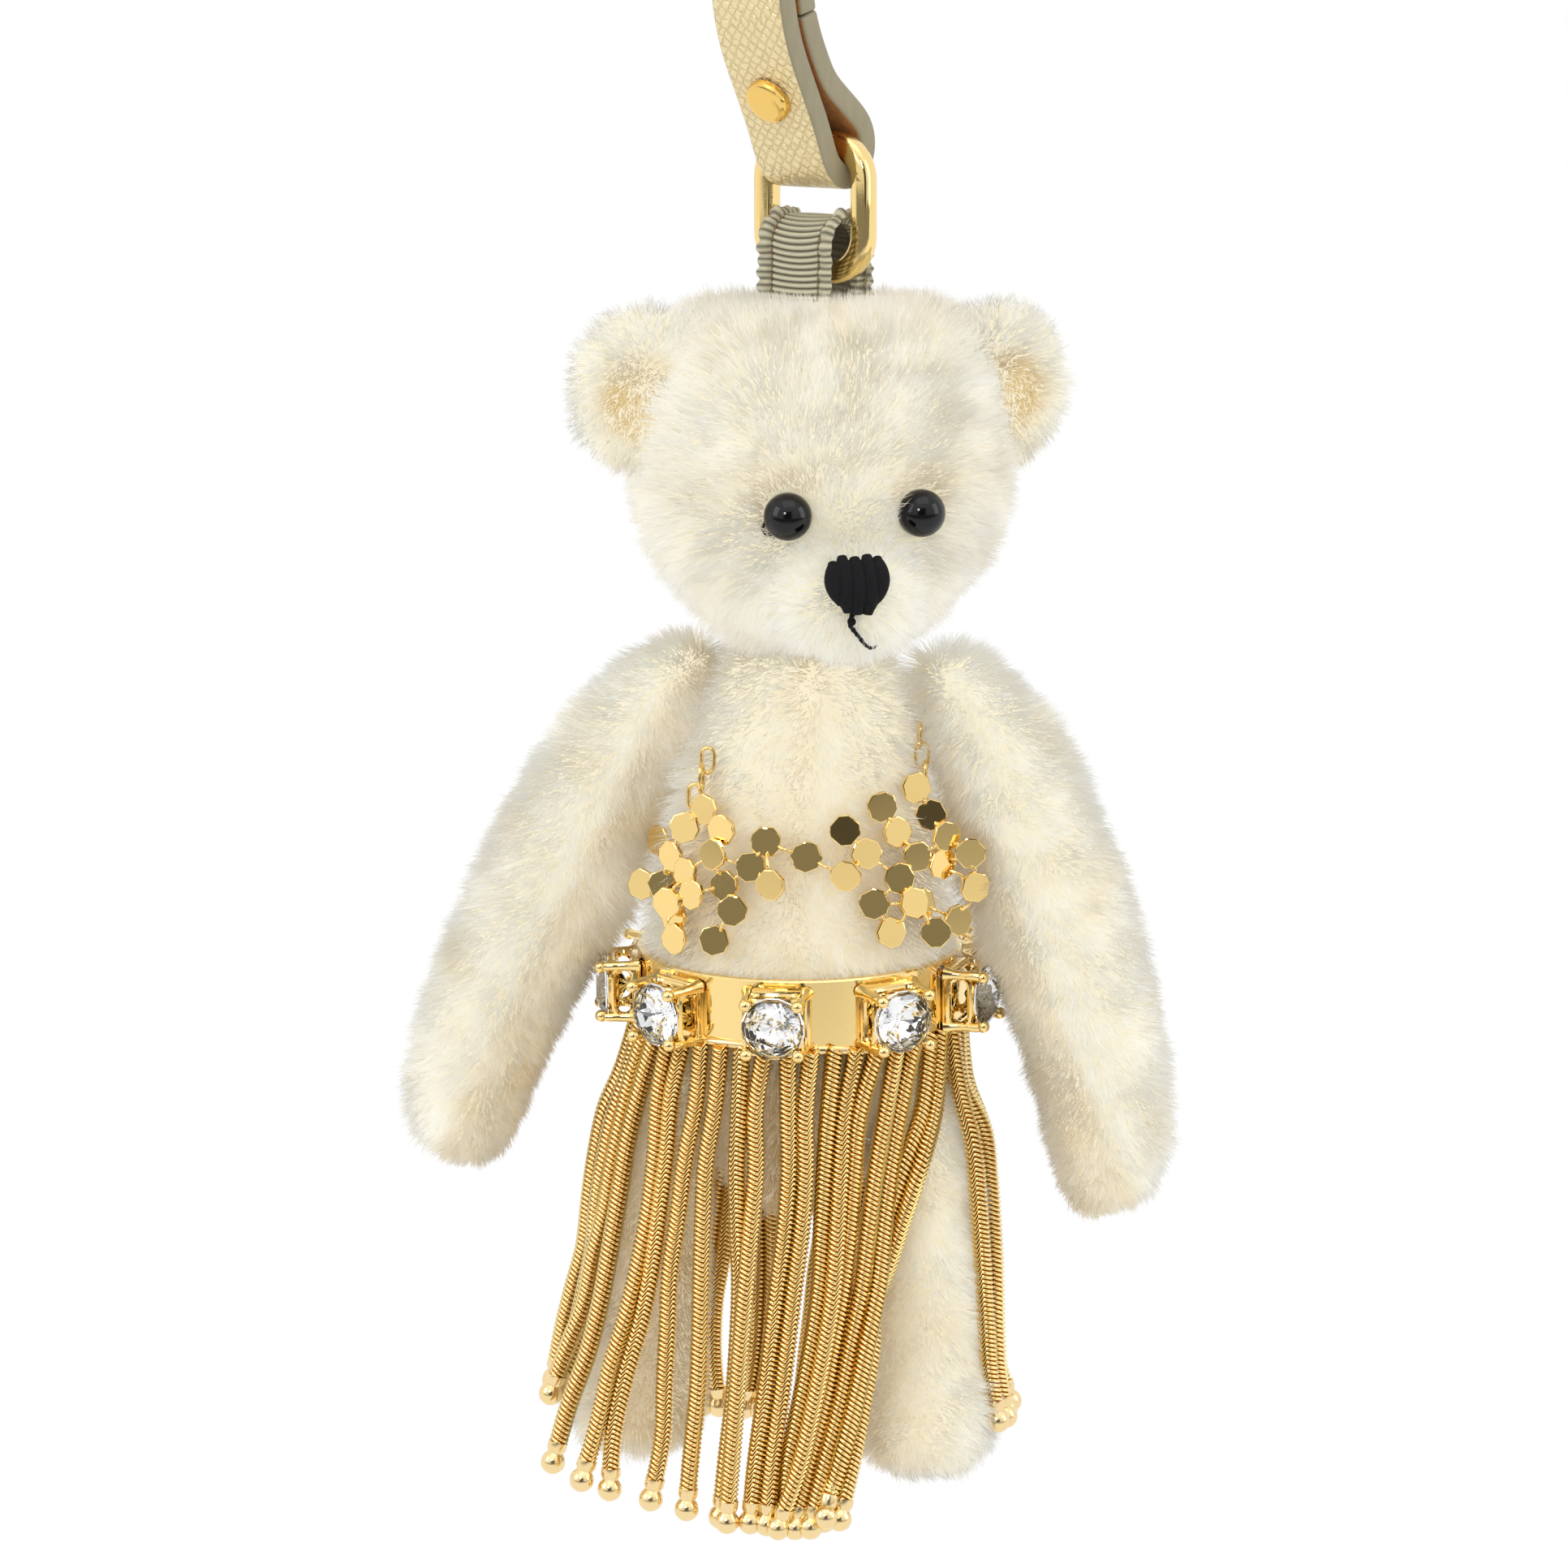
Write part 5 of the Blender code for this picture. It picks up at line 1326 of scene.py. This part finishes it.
# %% Where the plates lie
# Across, up, and what the plate faces: 0 the dark room, 1 in between, 2 a lamp.
PLATES = [
    (-7.6, -15.5, 1), (-8.9, -17.4, 0), (-5.5, -17.0, 2), (-14.0, -19.7, 2), (-10.6, -20.4, 2),
    (-6.1, -19.4, 2), (-1.7, -17.8, 1), (-2.9, -20.3, 0), (-8.6, -21.6, 2), (-12.4, -23.5, 0),
    (-15.0, -23.8, 1), (-5.3, -22.4, 2), (-7.9, -23.5, 2), (-0.9, -21.7, 2), (-4.1, -24.5, 1),
    (-7.7, -25.2, 1), (-10.4, -26.3, 2), (-5.9, -27.7, 0), (-9.4, -28.1, 2), (-9.9, -24.7, 1),
    (2.0, -19.0, 0), (5.1, -16.4, 0), (8.0, -14.3, 1), (10.4, -12.8, 1), (9.4, -16.8, 2),
    (11.3, -15.4, 0), (7.0, -18.6, 1), (10.6, -19.1, 2), (12.8, -17.2, 2), (13.4, -19.9, 2),
    (15.9, -18.7, 0), (5.3, -20.6, 2), (9.5, -21.0, 1), (12.1, -20.9, 2), (8.0, -23.5, 0),
    (11.6, -23.8, 1), (16.6, -22.0, 1), (14.5, -23.1, 0), (9.5, -26.3, 2), (12.1, -26.4, 0),
    (13.5, -25.4, 2), (10.4, -23.3, 2),
]
PLATE_WIDE, PLATE_LIFT = 2.85, 1.5
# Plates within CROWD are stacked, closer than APART are left out, and within REACH are linked.
CROWD, STACKED, APART, REACH = 2.7, 0.75, 1.9, 4.3

# %% One plate
def bevelled(bm, edges, offset, segments=2):
    bmesh.ops.bevel(bm, geom=edges, offset=offset, segments=segments, profile=0.5, affect="EDGES",
                    material=-1)


def turning(way, towards):
    """The turn that points direction `way` along `towards`, as a matrix."""
    return Vector(way).rotation_difference(towards).to_matrix().to_4x4()


def plate(bm, where):
    """A flat square plate with cut corners and a narrow bevel. It faces +Z of its place."""
    before = set(bm.verts)
    corners = block(bm, (PLATE_WIDE, PLATE_WIDE, 0.42))
    bevelled(bm, [e for e in {e for v in corners for e in v.link_edges}
                  if abs(e.verts[0].co.z - e.verts[1].co.z) > 0.1], 0.74, 1)
    bevelled(bm, [e for e in bm.edges
                  if not before & set(e.verts) and min(v.co.z for v in e.verts) > 0.1], 0.1)
    bmesh.ops.transform(bm, verts=added(bm, before), matrix=where)

# %% Plates and the wire between them
chance = np.random.default_rng(5)
plates, links = bmesh.new(), bmesh.new()
laid, spots = [], []
for x, z, bright in PLATES:
    if x < -9.5:  # the outer plates of this cup lie closer together
        x = -9.5 + 0.62 * (x + 9.5)
    close = sum(math.hypot(x - a, z - b) < CROWD for a, b in laid)
    lift = PLATE_LIFT + float(chance.uniform(-0.15, 0.15)) + STACKED * min(close, 2)
    at, out = on_front(x, z, lift)
    if abs(x) > 12.5:  # the outermost stay clear of the arms' pile
        at.y = min(at.y, -7.4)
    if any((at - other).length < APART for other, _ in spots):
        continue
    faces = out.lerp(Vector((0, -1, 0)), max((0.85, 0.5, 0.1)[bright], min(abs(x) / 20, 0.75)))
    sideways = float(chance.choice([-1, 1])) if abs(x) < 6 else math.copysign(1, x)
    lean = Vector(chance.normal(scale=(0.05, 0.04, 0.06)))
    lean += Vector((0.13 * bright * sideways, 0, 0.05))
    laid.append((x, z))
    spots.append((at, out))
    roll = math.radians(float(chance.choice([10, 32, 45]))) + float(chance.normal(scale=0.12))
    plate(plates, Matrix.Translation(at) @ turning((0, 0, 1), (faces + lean).normalized())
          @ Matrix.Rotation(roll, 4, "Z"))
joined = set()
for i, (at, out) in enumerate(spots):
    near = sorted((k for k in range(len(spots)) if k != i), key=lambda k: (spots[k][0] - at).length)
    for k in near[:4]:
        far, far_out = spots[k]
        gap = (far - at).length
        if gap < REACH and (k, i) not in joined and abs(far.y - at.y) < 2.0:
            joined.add((i, k))
            way, arch = (far - at) / gap, (far_out + out).normalized()
            start, end = at + way * 1.25, far - way * 1.25
            path = [start - arch * 0.35, start - arch * 0.1, (start + end) / 2 + arch * 0.28,
                    end - arch * 0.1, end - arch * 0.35]
            tube(links, curve_through([p[:] for p in path], 3), 0.17, 6)
finished("top_plates", plates, plate_gold, "torso", torso_place, "plate_top",
         sharp=20)

# %% Shoulder links
def wire_loop(bm, long, wide, wire, where, sides=6):
    """One oval link in the XZ plane of its place, bent round and closed."""
    half = (long - wide) / 2
    before = set(bm.verts)
    ring = section(bm, (2 * wire, 2 * wire), sides, at=(wide / 2, 0, -half))
    pulled(bm, ring, [("go", (0, 0, 2 * half)), ("turn", (0, 0, half), (0, -1, 0), 180, 6),
                      ("go", (0, 0, -2 * half)), ("turn", (0, 0, -half), (0, -1, 0), 180, 6)])
    bmesh.ops.remove_doubles(bm, verts=added(bm, before), dist=1e-3)
    bmesh.ops.transform(bm, verts=added(bm, before), matrix=where)


def quarter_turns(start, i):
    """Each link of a chain lies square to the last."""
    return placed((0, 0, 0), (0, 0, start + 90 * (i % 2)))


for x, z, sway in ((-8.6, -14.2, 0.3), (10.9, -11.4, -0.2)):
    for i in range(3):
        at, out = on_front(x + sway * i, z + 1.75 * i - 0.3, 1.5 - 0.3 * i)
        wire_loop(links, 2.5, 1.3, 0.22,
                  Matrix.Translation(at) @ turning((0, -1, 0), out) @ quarter_turns(35, i))
finished("top_links", links, plate_gold, "torso", torso_place, merge=0)

# %% Back chain
back = bmesh.new()
BACK_CHAIN = -19.6  # its height on the torso
_, middle_y, wide, deep = outline_at(TORSO_RINGS, BACK_CHAIN).tolist()
for i, degrees in enumerate(np.linspace(72, 288, 43)):
    a = math.radians(degrees)
    spot = ((wide + 0.75) * math.sin(a), middle_y - (deep + 0.75) * math.cos(a), BACK_CHAIN)
    turned = math.degrees(math.atan2(math.sin(a) / wide, math.cos(a) / deep))
    wire_loop(back, 2.0, 1.15, 0.2, placed(spot, (0, 0, turned))
              @ Matrix.Rotation(math.pi / 2, 4, "Y") @ quarter_turns(40, i))
finished("back_links", back, plate_gold, "torso", torso_place, "back_chain", merge=0)
print(len(spots), "plates and", len(joined), "links")

# %% [markdown]
# ## Stones
# A round brilliant has a flat table, rings of facets, a girdle and a pointed pavilion. A convex
# hull over rings of points gives exactly those facets. Each stone is one clear brilliant held in
# an open cup of foil, which mirrors the light back through the crown.

# %% Stones
clear_glass = material("clear_crown", (1, 1, 1), 0.0, Transmission_Weight=1.0, IOR=1.6)[0]
foil_back = worn_smooth("foil_pavilion", (0.93, 0.93, 0.94), 0.04, 1.0, 0.02, 0.12, 400.0)[0]
BELT_OUT, BELT_MIDDLE = (16.1, 14.1), -34.1
STONES, GIRDLE = 9, 3.15  # GIRDLE is its height over the setting's foot
belt_place = placed((0, 0, BELT_MIDDLE + 0.6), (4.5, -2.2, 0), torso_place)


def round_belt(half, degrees):
    """A point of the belt's oval and its outward direction. The angle runs from the front."""
    a = math.radians(degrees)
    point = Vector((half[0] * math.sin(a), -half[1] * math.cos(a), 0))
    return point, Vector((point.x / half[0] ** 2, point.y / half[1] ** 2, 0)).normalized()


def setting_place(i, within=Matrix.Identity(4)):
    point, out = round_belt(BELT_OUT, i * 360 / STONES)
    turn = math.degrees(math.atan2(out.x, -out.y))
    return placed(point + Vector((0, 0, -0.5)), (90, 0, turn), within)

# %% Nine stones
# Count, radius, height above the girdle and half-step turn of each ring of corners.
FACETS = ((8, 1.5, 0.98, 0), (8, 2.35, 0.66, 1), (16, 3.05, 0.1, 1), (16, 3.05, -0.06, 1),
          (8, 2.3, -0.72, 0), (8, 1.15, -1.45, 1), (8, 0.12, -2.05, 0))
for i in range(STONES):
    bm = bmesh.new()
    for count, radius, height, shift in FACETS:
        bmesh.ops.create_circle(bm, cap_ends=False, segments=count, radius=radius, matrix=placed(
            (0, 0, height + GIRDLE), (0, 0, shift * 180 / count)))
    bmesh.ops.convex_hull(bm, input=bm.verts)
    bmesh.ops.dissolve_limit(bm, angle_limit=math.radians(1), verts=bm.verts, edges=bm.edges)
    cup = bm.copy()
    front = [f for f in cup.faces if f.calc_center_median().z > GIRDLE - 0.06]
    bmesh.ops.delete(cup, geom=front, context="FACES")
    bmesh.ops.translate(cup, verts=cup.verts, vec=(0, 0, -0.03))
    bmesh.ops.solidify(cup, geom=cup.faces, thickness=-0.12)
    name, where = f"stone_{i + 1}", setting_place(i, belt_place)
    finished(f"{name}_glass", bm, clear_glass, "torso", where, name, sharp=2)
    finished(f"{name}_foil", cup, foil_back, "torso", where, sharp=2)
print("nine stones cut")

# %% [markdown]
# ## The belt and its settings
# The band is an oval hoop. Each stone sits proud of it in an open box: four posts rise from a
# square foot, an oval gallery joins each pair, and each post ends in a ball over the stone's edge.

# %% Band and settings
bm = bmesh.new()
low, high, inner, outer = -3.45, 3.45, 15.2, BELT_OUT[0]
lathe(bm, [(inner, low), (outer - 0.15, low), (outer, low + 0.15), (outer, high - 0.15),
           (outer - 0.15, high), (inner, high), (inner, low)], 108)
bmesh.ops.scale(bm, verts=bm.verts, vec=(1, BELT_OUT[1] / BELT_OUT[0], 1))
finished("belt_hoop", bm, polished_gold, "torso", belt_place, "belt_band", sharp=30)

# %% One setting, nine times
one = bmesh.new()
foot = block(one, (6.7, 6.3, 0.9), (0, 0, 0.1))
bevelled(one, list({e for v in foot for e in v.link_edges}), 0.3)
lathe(one, [(2.45, 1.9), (2.95, 2.5), (2.95, 2.95), (2.6, 2.9), (2.3, 2.3), (2.45, 1.9)], 28)
for x in (-1, 1):
    for y in (-1, 1):
        post = [(2.85 * x, 2.7 * y, -0.2), (2.75 * x, 2.62 * y, 0.8), (2.7 * x, 2.6 * y, 2.2),
                (2.68 * x, 2.6 * y, 3.1), (2.56 * x, 2.5 * y, 3.6)]
        tube(one, post, [0.75, 0.5, 0.46, 0.46, 0.44], 12)
        ball(one, 0.62, (14, 10), placed((2.54 * x, 2.48 * y, 3.7)))
for at, turn in (((2.72, 0), 90), ((-2.72, 0), 90), ((0, 2.62), 0), ((0, -2.62), 0)):
    wire_loop(one, 4.9, 2.1, 0.34, placed((*at, 1.4), (0, 90, turn)), 8)
box, settings = to_mesh("setting", one), bmesh.new()
for i in range(STONES):
    before = set(settings.verts)
    settings.from_mesh(box)
    bmesh.ops.transform(settings, verts=added(settings, before), matrix=setting_place(i))
finished("stone_settings", settings, polished_gold, "torso", belt_place, sharp=40,
         merge=0)
print("belt and settings done")

# %% [markdown]
# ## The chain fringe
# Forty-four snake chains hang under the belt in six groups, each soldered to a short rail. A snake
# chain is a tube of tight wavy plates. One link is a short drum folded twice, a long slant and a
# short steep one in each half turn, and a stack of them shows slanted stripes. It is made once and
# repeated along every chain. The chains are metal and are hinged as rigid groups.

# %% Where the chains hang
CHAIN_R, BALL_R, STRAND_TOP, STRAND_RING = 0.8, 1.25, -38.4, (15.9, 13.9)
GROUPS = {"front_left": (0, 74), "side_left": (74, 122), "back_left": (122, 180),
          "front_right": (-74, 0), "side_right": (-122, -74), "back_right": (-180, -122)}
ANGLES = [(i + 0.5) * 360 / 44 for i in range(22)]
ANGLES += [-a for a in ANGLES]
LEVELS, ROUNDS = 9, 400  # heights at which a chain is placed, and rounds of settling
BUNCHED, HOMING, STIFF = 0.45, 0.12, 0.05  # pulls to its bunch, to its wish and towards straight
LEG_REACH, LEG_GAP, TUCK = (-35, 6.5), 0.5, 1.3  # TUCK is how far a chain's top goes up the belt


def chain_wish(degrees):
    """Top, foot and length of one chain before the chains push each other apart."""
    top = round_belt(STRAND_RING, degrees)[0]
    ripple = math.sin(2.3 * degrees)
    if -57 < degrees < 74:
        spread = 0.54 if top.x > -2.6 else 1.8
        short = 3.6 * max(-degrees - 12, 0) / 45 + 2.0 * max(degrees - 40, 0) / 34
        return (top, Vector((-1.9 + spread * (top.x + 2.6), -15.2 - 0.5 * ripple, 0)),
                46.4 + 1.4 * ripple - short)
    if abs(degrees) < 122:
        return top, Vector((21.2 if degrees > 0 else -22.8, top.y * 0.85, 0)), 37.5 + 1.2 * ripple
    return top, Vector((top.x * 0.95 - 1.6, STRAND_RING[1] + 1.0, 0)), 44 + 1.0 * ripple

# %% Chains settle side by side
def hung_chains():
    """The middle line of every chain, level by level, settled among its neighbours and the legs."""
    tops, feet, lengths = zip(*(chain_wish(d) for d in ANGLES))
    drop = np.linspace(0, 1, LEVELS)
    lie = np.stack([np.array([t.lerp(f, 0.35 * u + 0.65 * u**1.3)[:] for t, f in zip(tops, feet)])
                    for u in drop])
    lie[:, :, 2] = STRAND_TOP - drop[:, None] * np.array(lengths)
    wish = lie.copy()
    group = np.array([[low < d < high for d in ANGLES] for low, high in GROUPS.values()])
    strangers = ~(group[:, :, None] & group[:, None]).any(axis=0)
    clear = 2 * CHAIN_R + 0.03
    # Neighbours gather in twos and threes, and each bunch sways its own way.
    order, sway = np.argsort(ANGLES), np.random.default_rng(17)
    bunches = np.split(order, np.cumsum(sway.choice([1, 2, 3, 3], len(ANGLES)))[:len(ANGLES) // 2])
    for bunch in (b for b in bunches if len(b)):
        mates = (group[:, bunch][:, :, None] & group[:, bunch][:, None]).any(axis=0)
        middle = np.einsum("ij,ljk->lik", mates / mates.sum(axis=1, keepdims=True), wish[1:, bunch])
        swing = sway.uniform(0.5, 1.0) * np.sin(drop[1:] * sway.uniform(4.5, 9)
                                                + sway.uniform(0, 6.28))
        wish[1:, bunch, :2] += BUNCHED * (middle - wish[1:, bunch])[:, :, :2]
        wish[1:, bunch, 0] += (swing * sway.choice([-1, 1]))[:, None]
        wish[1:, bunch, 0] += 0.35 * sway.normal(size=(LEVELS - 1, len(bunch)))
    for _ in range(ROUNDS):
        lie[1:, :, :2] += HOMING * (wish - lie)[1:, :, :2]
        lie[1:-1, :, :2] += STIFF * (lie[:-2] + lie[2:] - 2 * lie[1:-1])[:, :, :2]
        for level in range(1, LEVELS):
            flat = lie[level, :, :2]
            gap = flat[:, None] - flat[None]
            far = np.linalg.norm(gap, axis=2) + np.eye(len(ANGLES)) * 99
            apart = clear + 0.35 * strangers * (2 * (BALL_R - CHAIN_R) + 0.1) * drop[level]
            push = np.clip(apart - far, 0, None)[..., None] * gap / np.maximum(far, 0.05)[..., None]
            flat += 0.5 * push.sum(axis=1)
            divide = -0.2 - 1.9 * drop[level]  # the parting of the two front groups
            flat[group[0], 0] = np.maximum(flat[group[0], 0], divide + clear / 2)
            flat[group[3], 0] = np.minimum(flat[group[3], 0], divide - clear / 2)
            for side in (1, -1):
                heights = lie[level, :, 2] - HIP[2]
                rows = outline_at(LEG_RINGS, heights) * [side, 1, 1, 1]
                middle = rows[:, :2] + [side * HIP[0], HIP[1]]
                size = rows[:, 2:] + BALL_R + LEG_GAP
                off = (flat - middle) / size
                near = np.linalg.norm(off, axis=1)
                hit = (heights > LEG_REACH[0]) & (heights < LEG_REACH[1]) & (near < 1)
                flat[hit] = (middle + off / np.maximum(near, 0.2)[:, None] * size)[hit]
    tilt = belt_place.to_3x3().inverted() @ torso_place.to_3x3()
    lie[0, :, 2] = STRAND_TOP + TUCK - (lie[0, :, 0] * tilt[2][0] + lie[0, :, 1] * tilt[2][1])
    return lie


hung = hung_chains()
print("chains", hung.shape, "lowest", round(float(hung[:, :, 2].min()), 1))

# %% One link
LINK_PITCH, LINK_R, GROOVE = 0.47, 0.95, 0.77  # GROOVE is the drum's ends against its middle


def snake_link():
    """A short drum with a swollen middle, folded twice: a long slant and a short steep one."""
    bm = bmesh.new()
    pin(bm, LINK_R * GROOVE, 0.42, placed((0, 0, 0)), 12)
    cut_across(bm, 0)
    for v in bm.verts:
        angle = math.degrees(math.atan2(v.co.y, v.co.x)) % 180
        if abs(v.co.z) < 0.01:
            v.co.x, v.co.y = v.co.x / GROOVE, v.co.y / GROOVE
        v.co.z += 0.38 * (1 - angle / 75 if angle < 150 else angle / 15 - 11)
    return as_arrays(bm)


LINK = snake_link()
print("a link has", sum(len(f) - 2 for f in LINK[1]), "triangles")


def link_copies(places, turns):
    """The link at many places. Its map runs from 0 in the groove to 1 on the crest."""
    points, faces = LINK
    flat = np.concatenate(faces)
    crest = soft_step(np.hypot(points[flat, 0], points[flat, 1]), LINK_R * GROOVE, LINK_R)
    chart = np.stack([np.full(len(flat), 0.5), 0.02 + 0.96 * crest], axis=1)
    spots = np.einsum("nij,kj->nki", turns, points) + places[:, None]
    return spots, faces, np.broadcast_to(chart, (len(places), *chart.shape))

# %% Chains, ball ends and rails
chance = np.random.default_rng(8)
neck_r = LINK_R + 0.03
BALL_END = [(0.0, 0.4), (neck_r, 0.36), (neck_r, -0.3), (0.78, -0.75),
            *arc(1.22, (0, -1.72), 48, -90, 9)]
for label, (low, high) in GROUPS.items():
    picked = [i for i, d in enumerate(ANGLES) if low < d < high]
    places, turns = [], []
    ends = bmesh.new()
    for i in picked:
        line = evened(curve_through(list(hung[:, i]), 8), LINK_PITCH)[0][:-3]
        ways = heading(line)
        phase, twist = chance.uniform(0, np.pi), chance.uniform(-0.012, 0.012)
        for k, (at, way) in enumerate(zip(line, ways)):
            side = unit(np.cross(way, [0.0, 1.0, 0.0]))
            other = np.cross(way, side)
            c, s = math.cos(phase + twist * k), math.sin(phase + twist * k)
            places.append(at)
            turns.append(np.stack([side * c + other * s, other * c - side * s, way], axis=1))
        lathe(ends, BALL_END, 16,
              Matrix.Translation(line[-1]) @ turning((0, 0, -1), Vector(ways[-1])))
    step = 1.6 if high > 0 else -1.6
    span_of_rail = np.linspace(ANGLES[picked[0]] - step, ANGLES[picked[-1]] + step,
                               3 * len(picked))
    rail = [round_belt(STRAND_RING, d)[0] * 0.985 + Vector((0, 0, STRAND_TOP + 0.5))
            for d in span_of_rail]
    tube(ends, rail, 0.5)
    body, links = f"fringe_{label}", [link_copies(np.array(places), np.array(turns))]
    chain = shown(f"chains_{label}", stamped(f"chains_{label}", links), woven_gold, body,
                  torso_place, body)
    chain.visible_shadow = False
    finished(f"chain_ends_{label}", ends, chain_gold, body, torso_place, sharp=40,
             merge=0)
    print(label, len(picked), "chains,", len(places), "links")

# %% [markdown]
# ## Inside the joints
# A plush bear's limbs turn on pairs of pressed fibreboard discs with a steel pin through them. They
# keep the model's own shape and only take a finish.

# %% Discs and pins
fibreboard = fibrous("fibreboard", (0.4, 0.27, 0.15), 0.85,
                     ((0.26, 0.16, 0.08), (0.55, 0.4, 0.24)), 700.0, (0.5, 0.0002))
pin_steel = worn_smooth("pin_steel", (0.62, 0.62, 0.6), 0.3, 1.0, 0.25, 0.5, 200.0)[0]
hidden = [name for name in frame["nodes"]
          if "_disc" in name or name.endswith("_pin") and name != "gate_pin"]
for name in hidden:
    for slot in bpy.data.objects[name].material_slots:
        slot.link = "OBJECT"
        slot.material = pin_steel if name.endswith("_pin") else fibreboard
print(len(hidden), "discs and pins finished:", sorted(hidden))
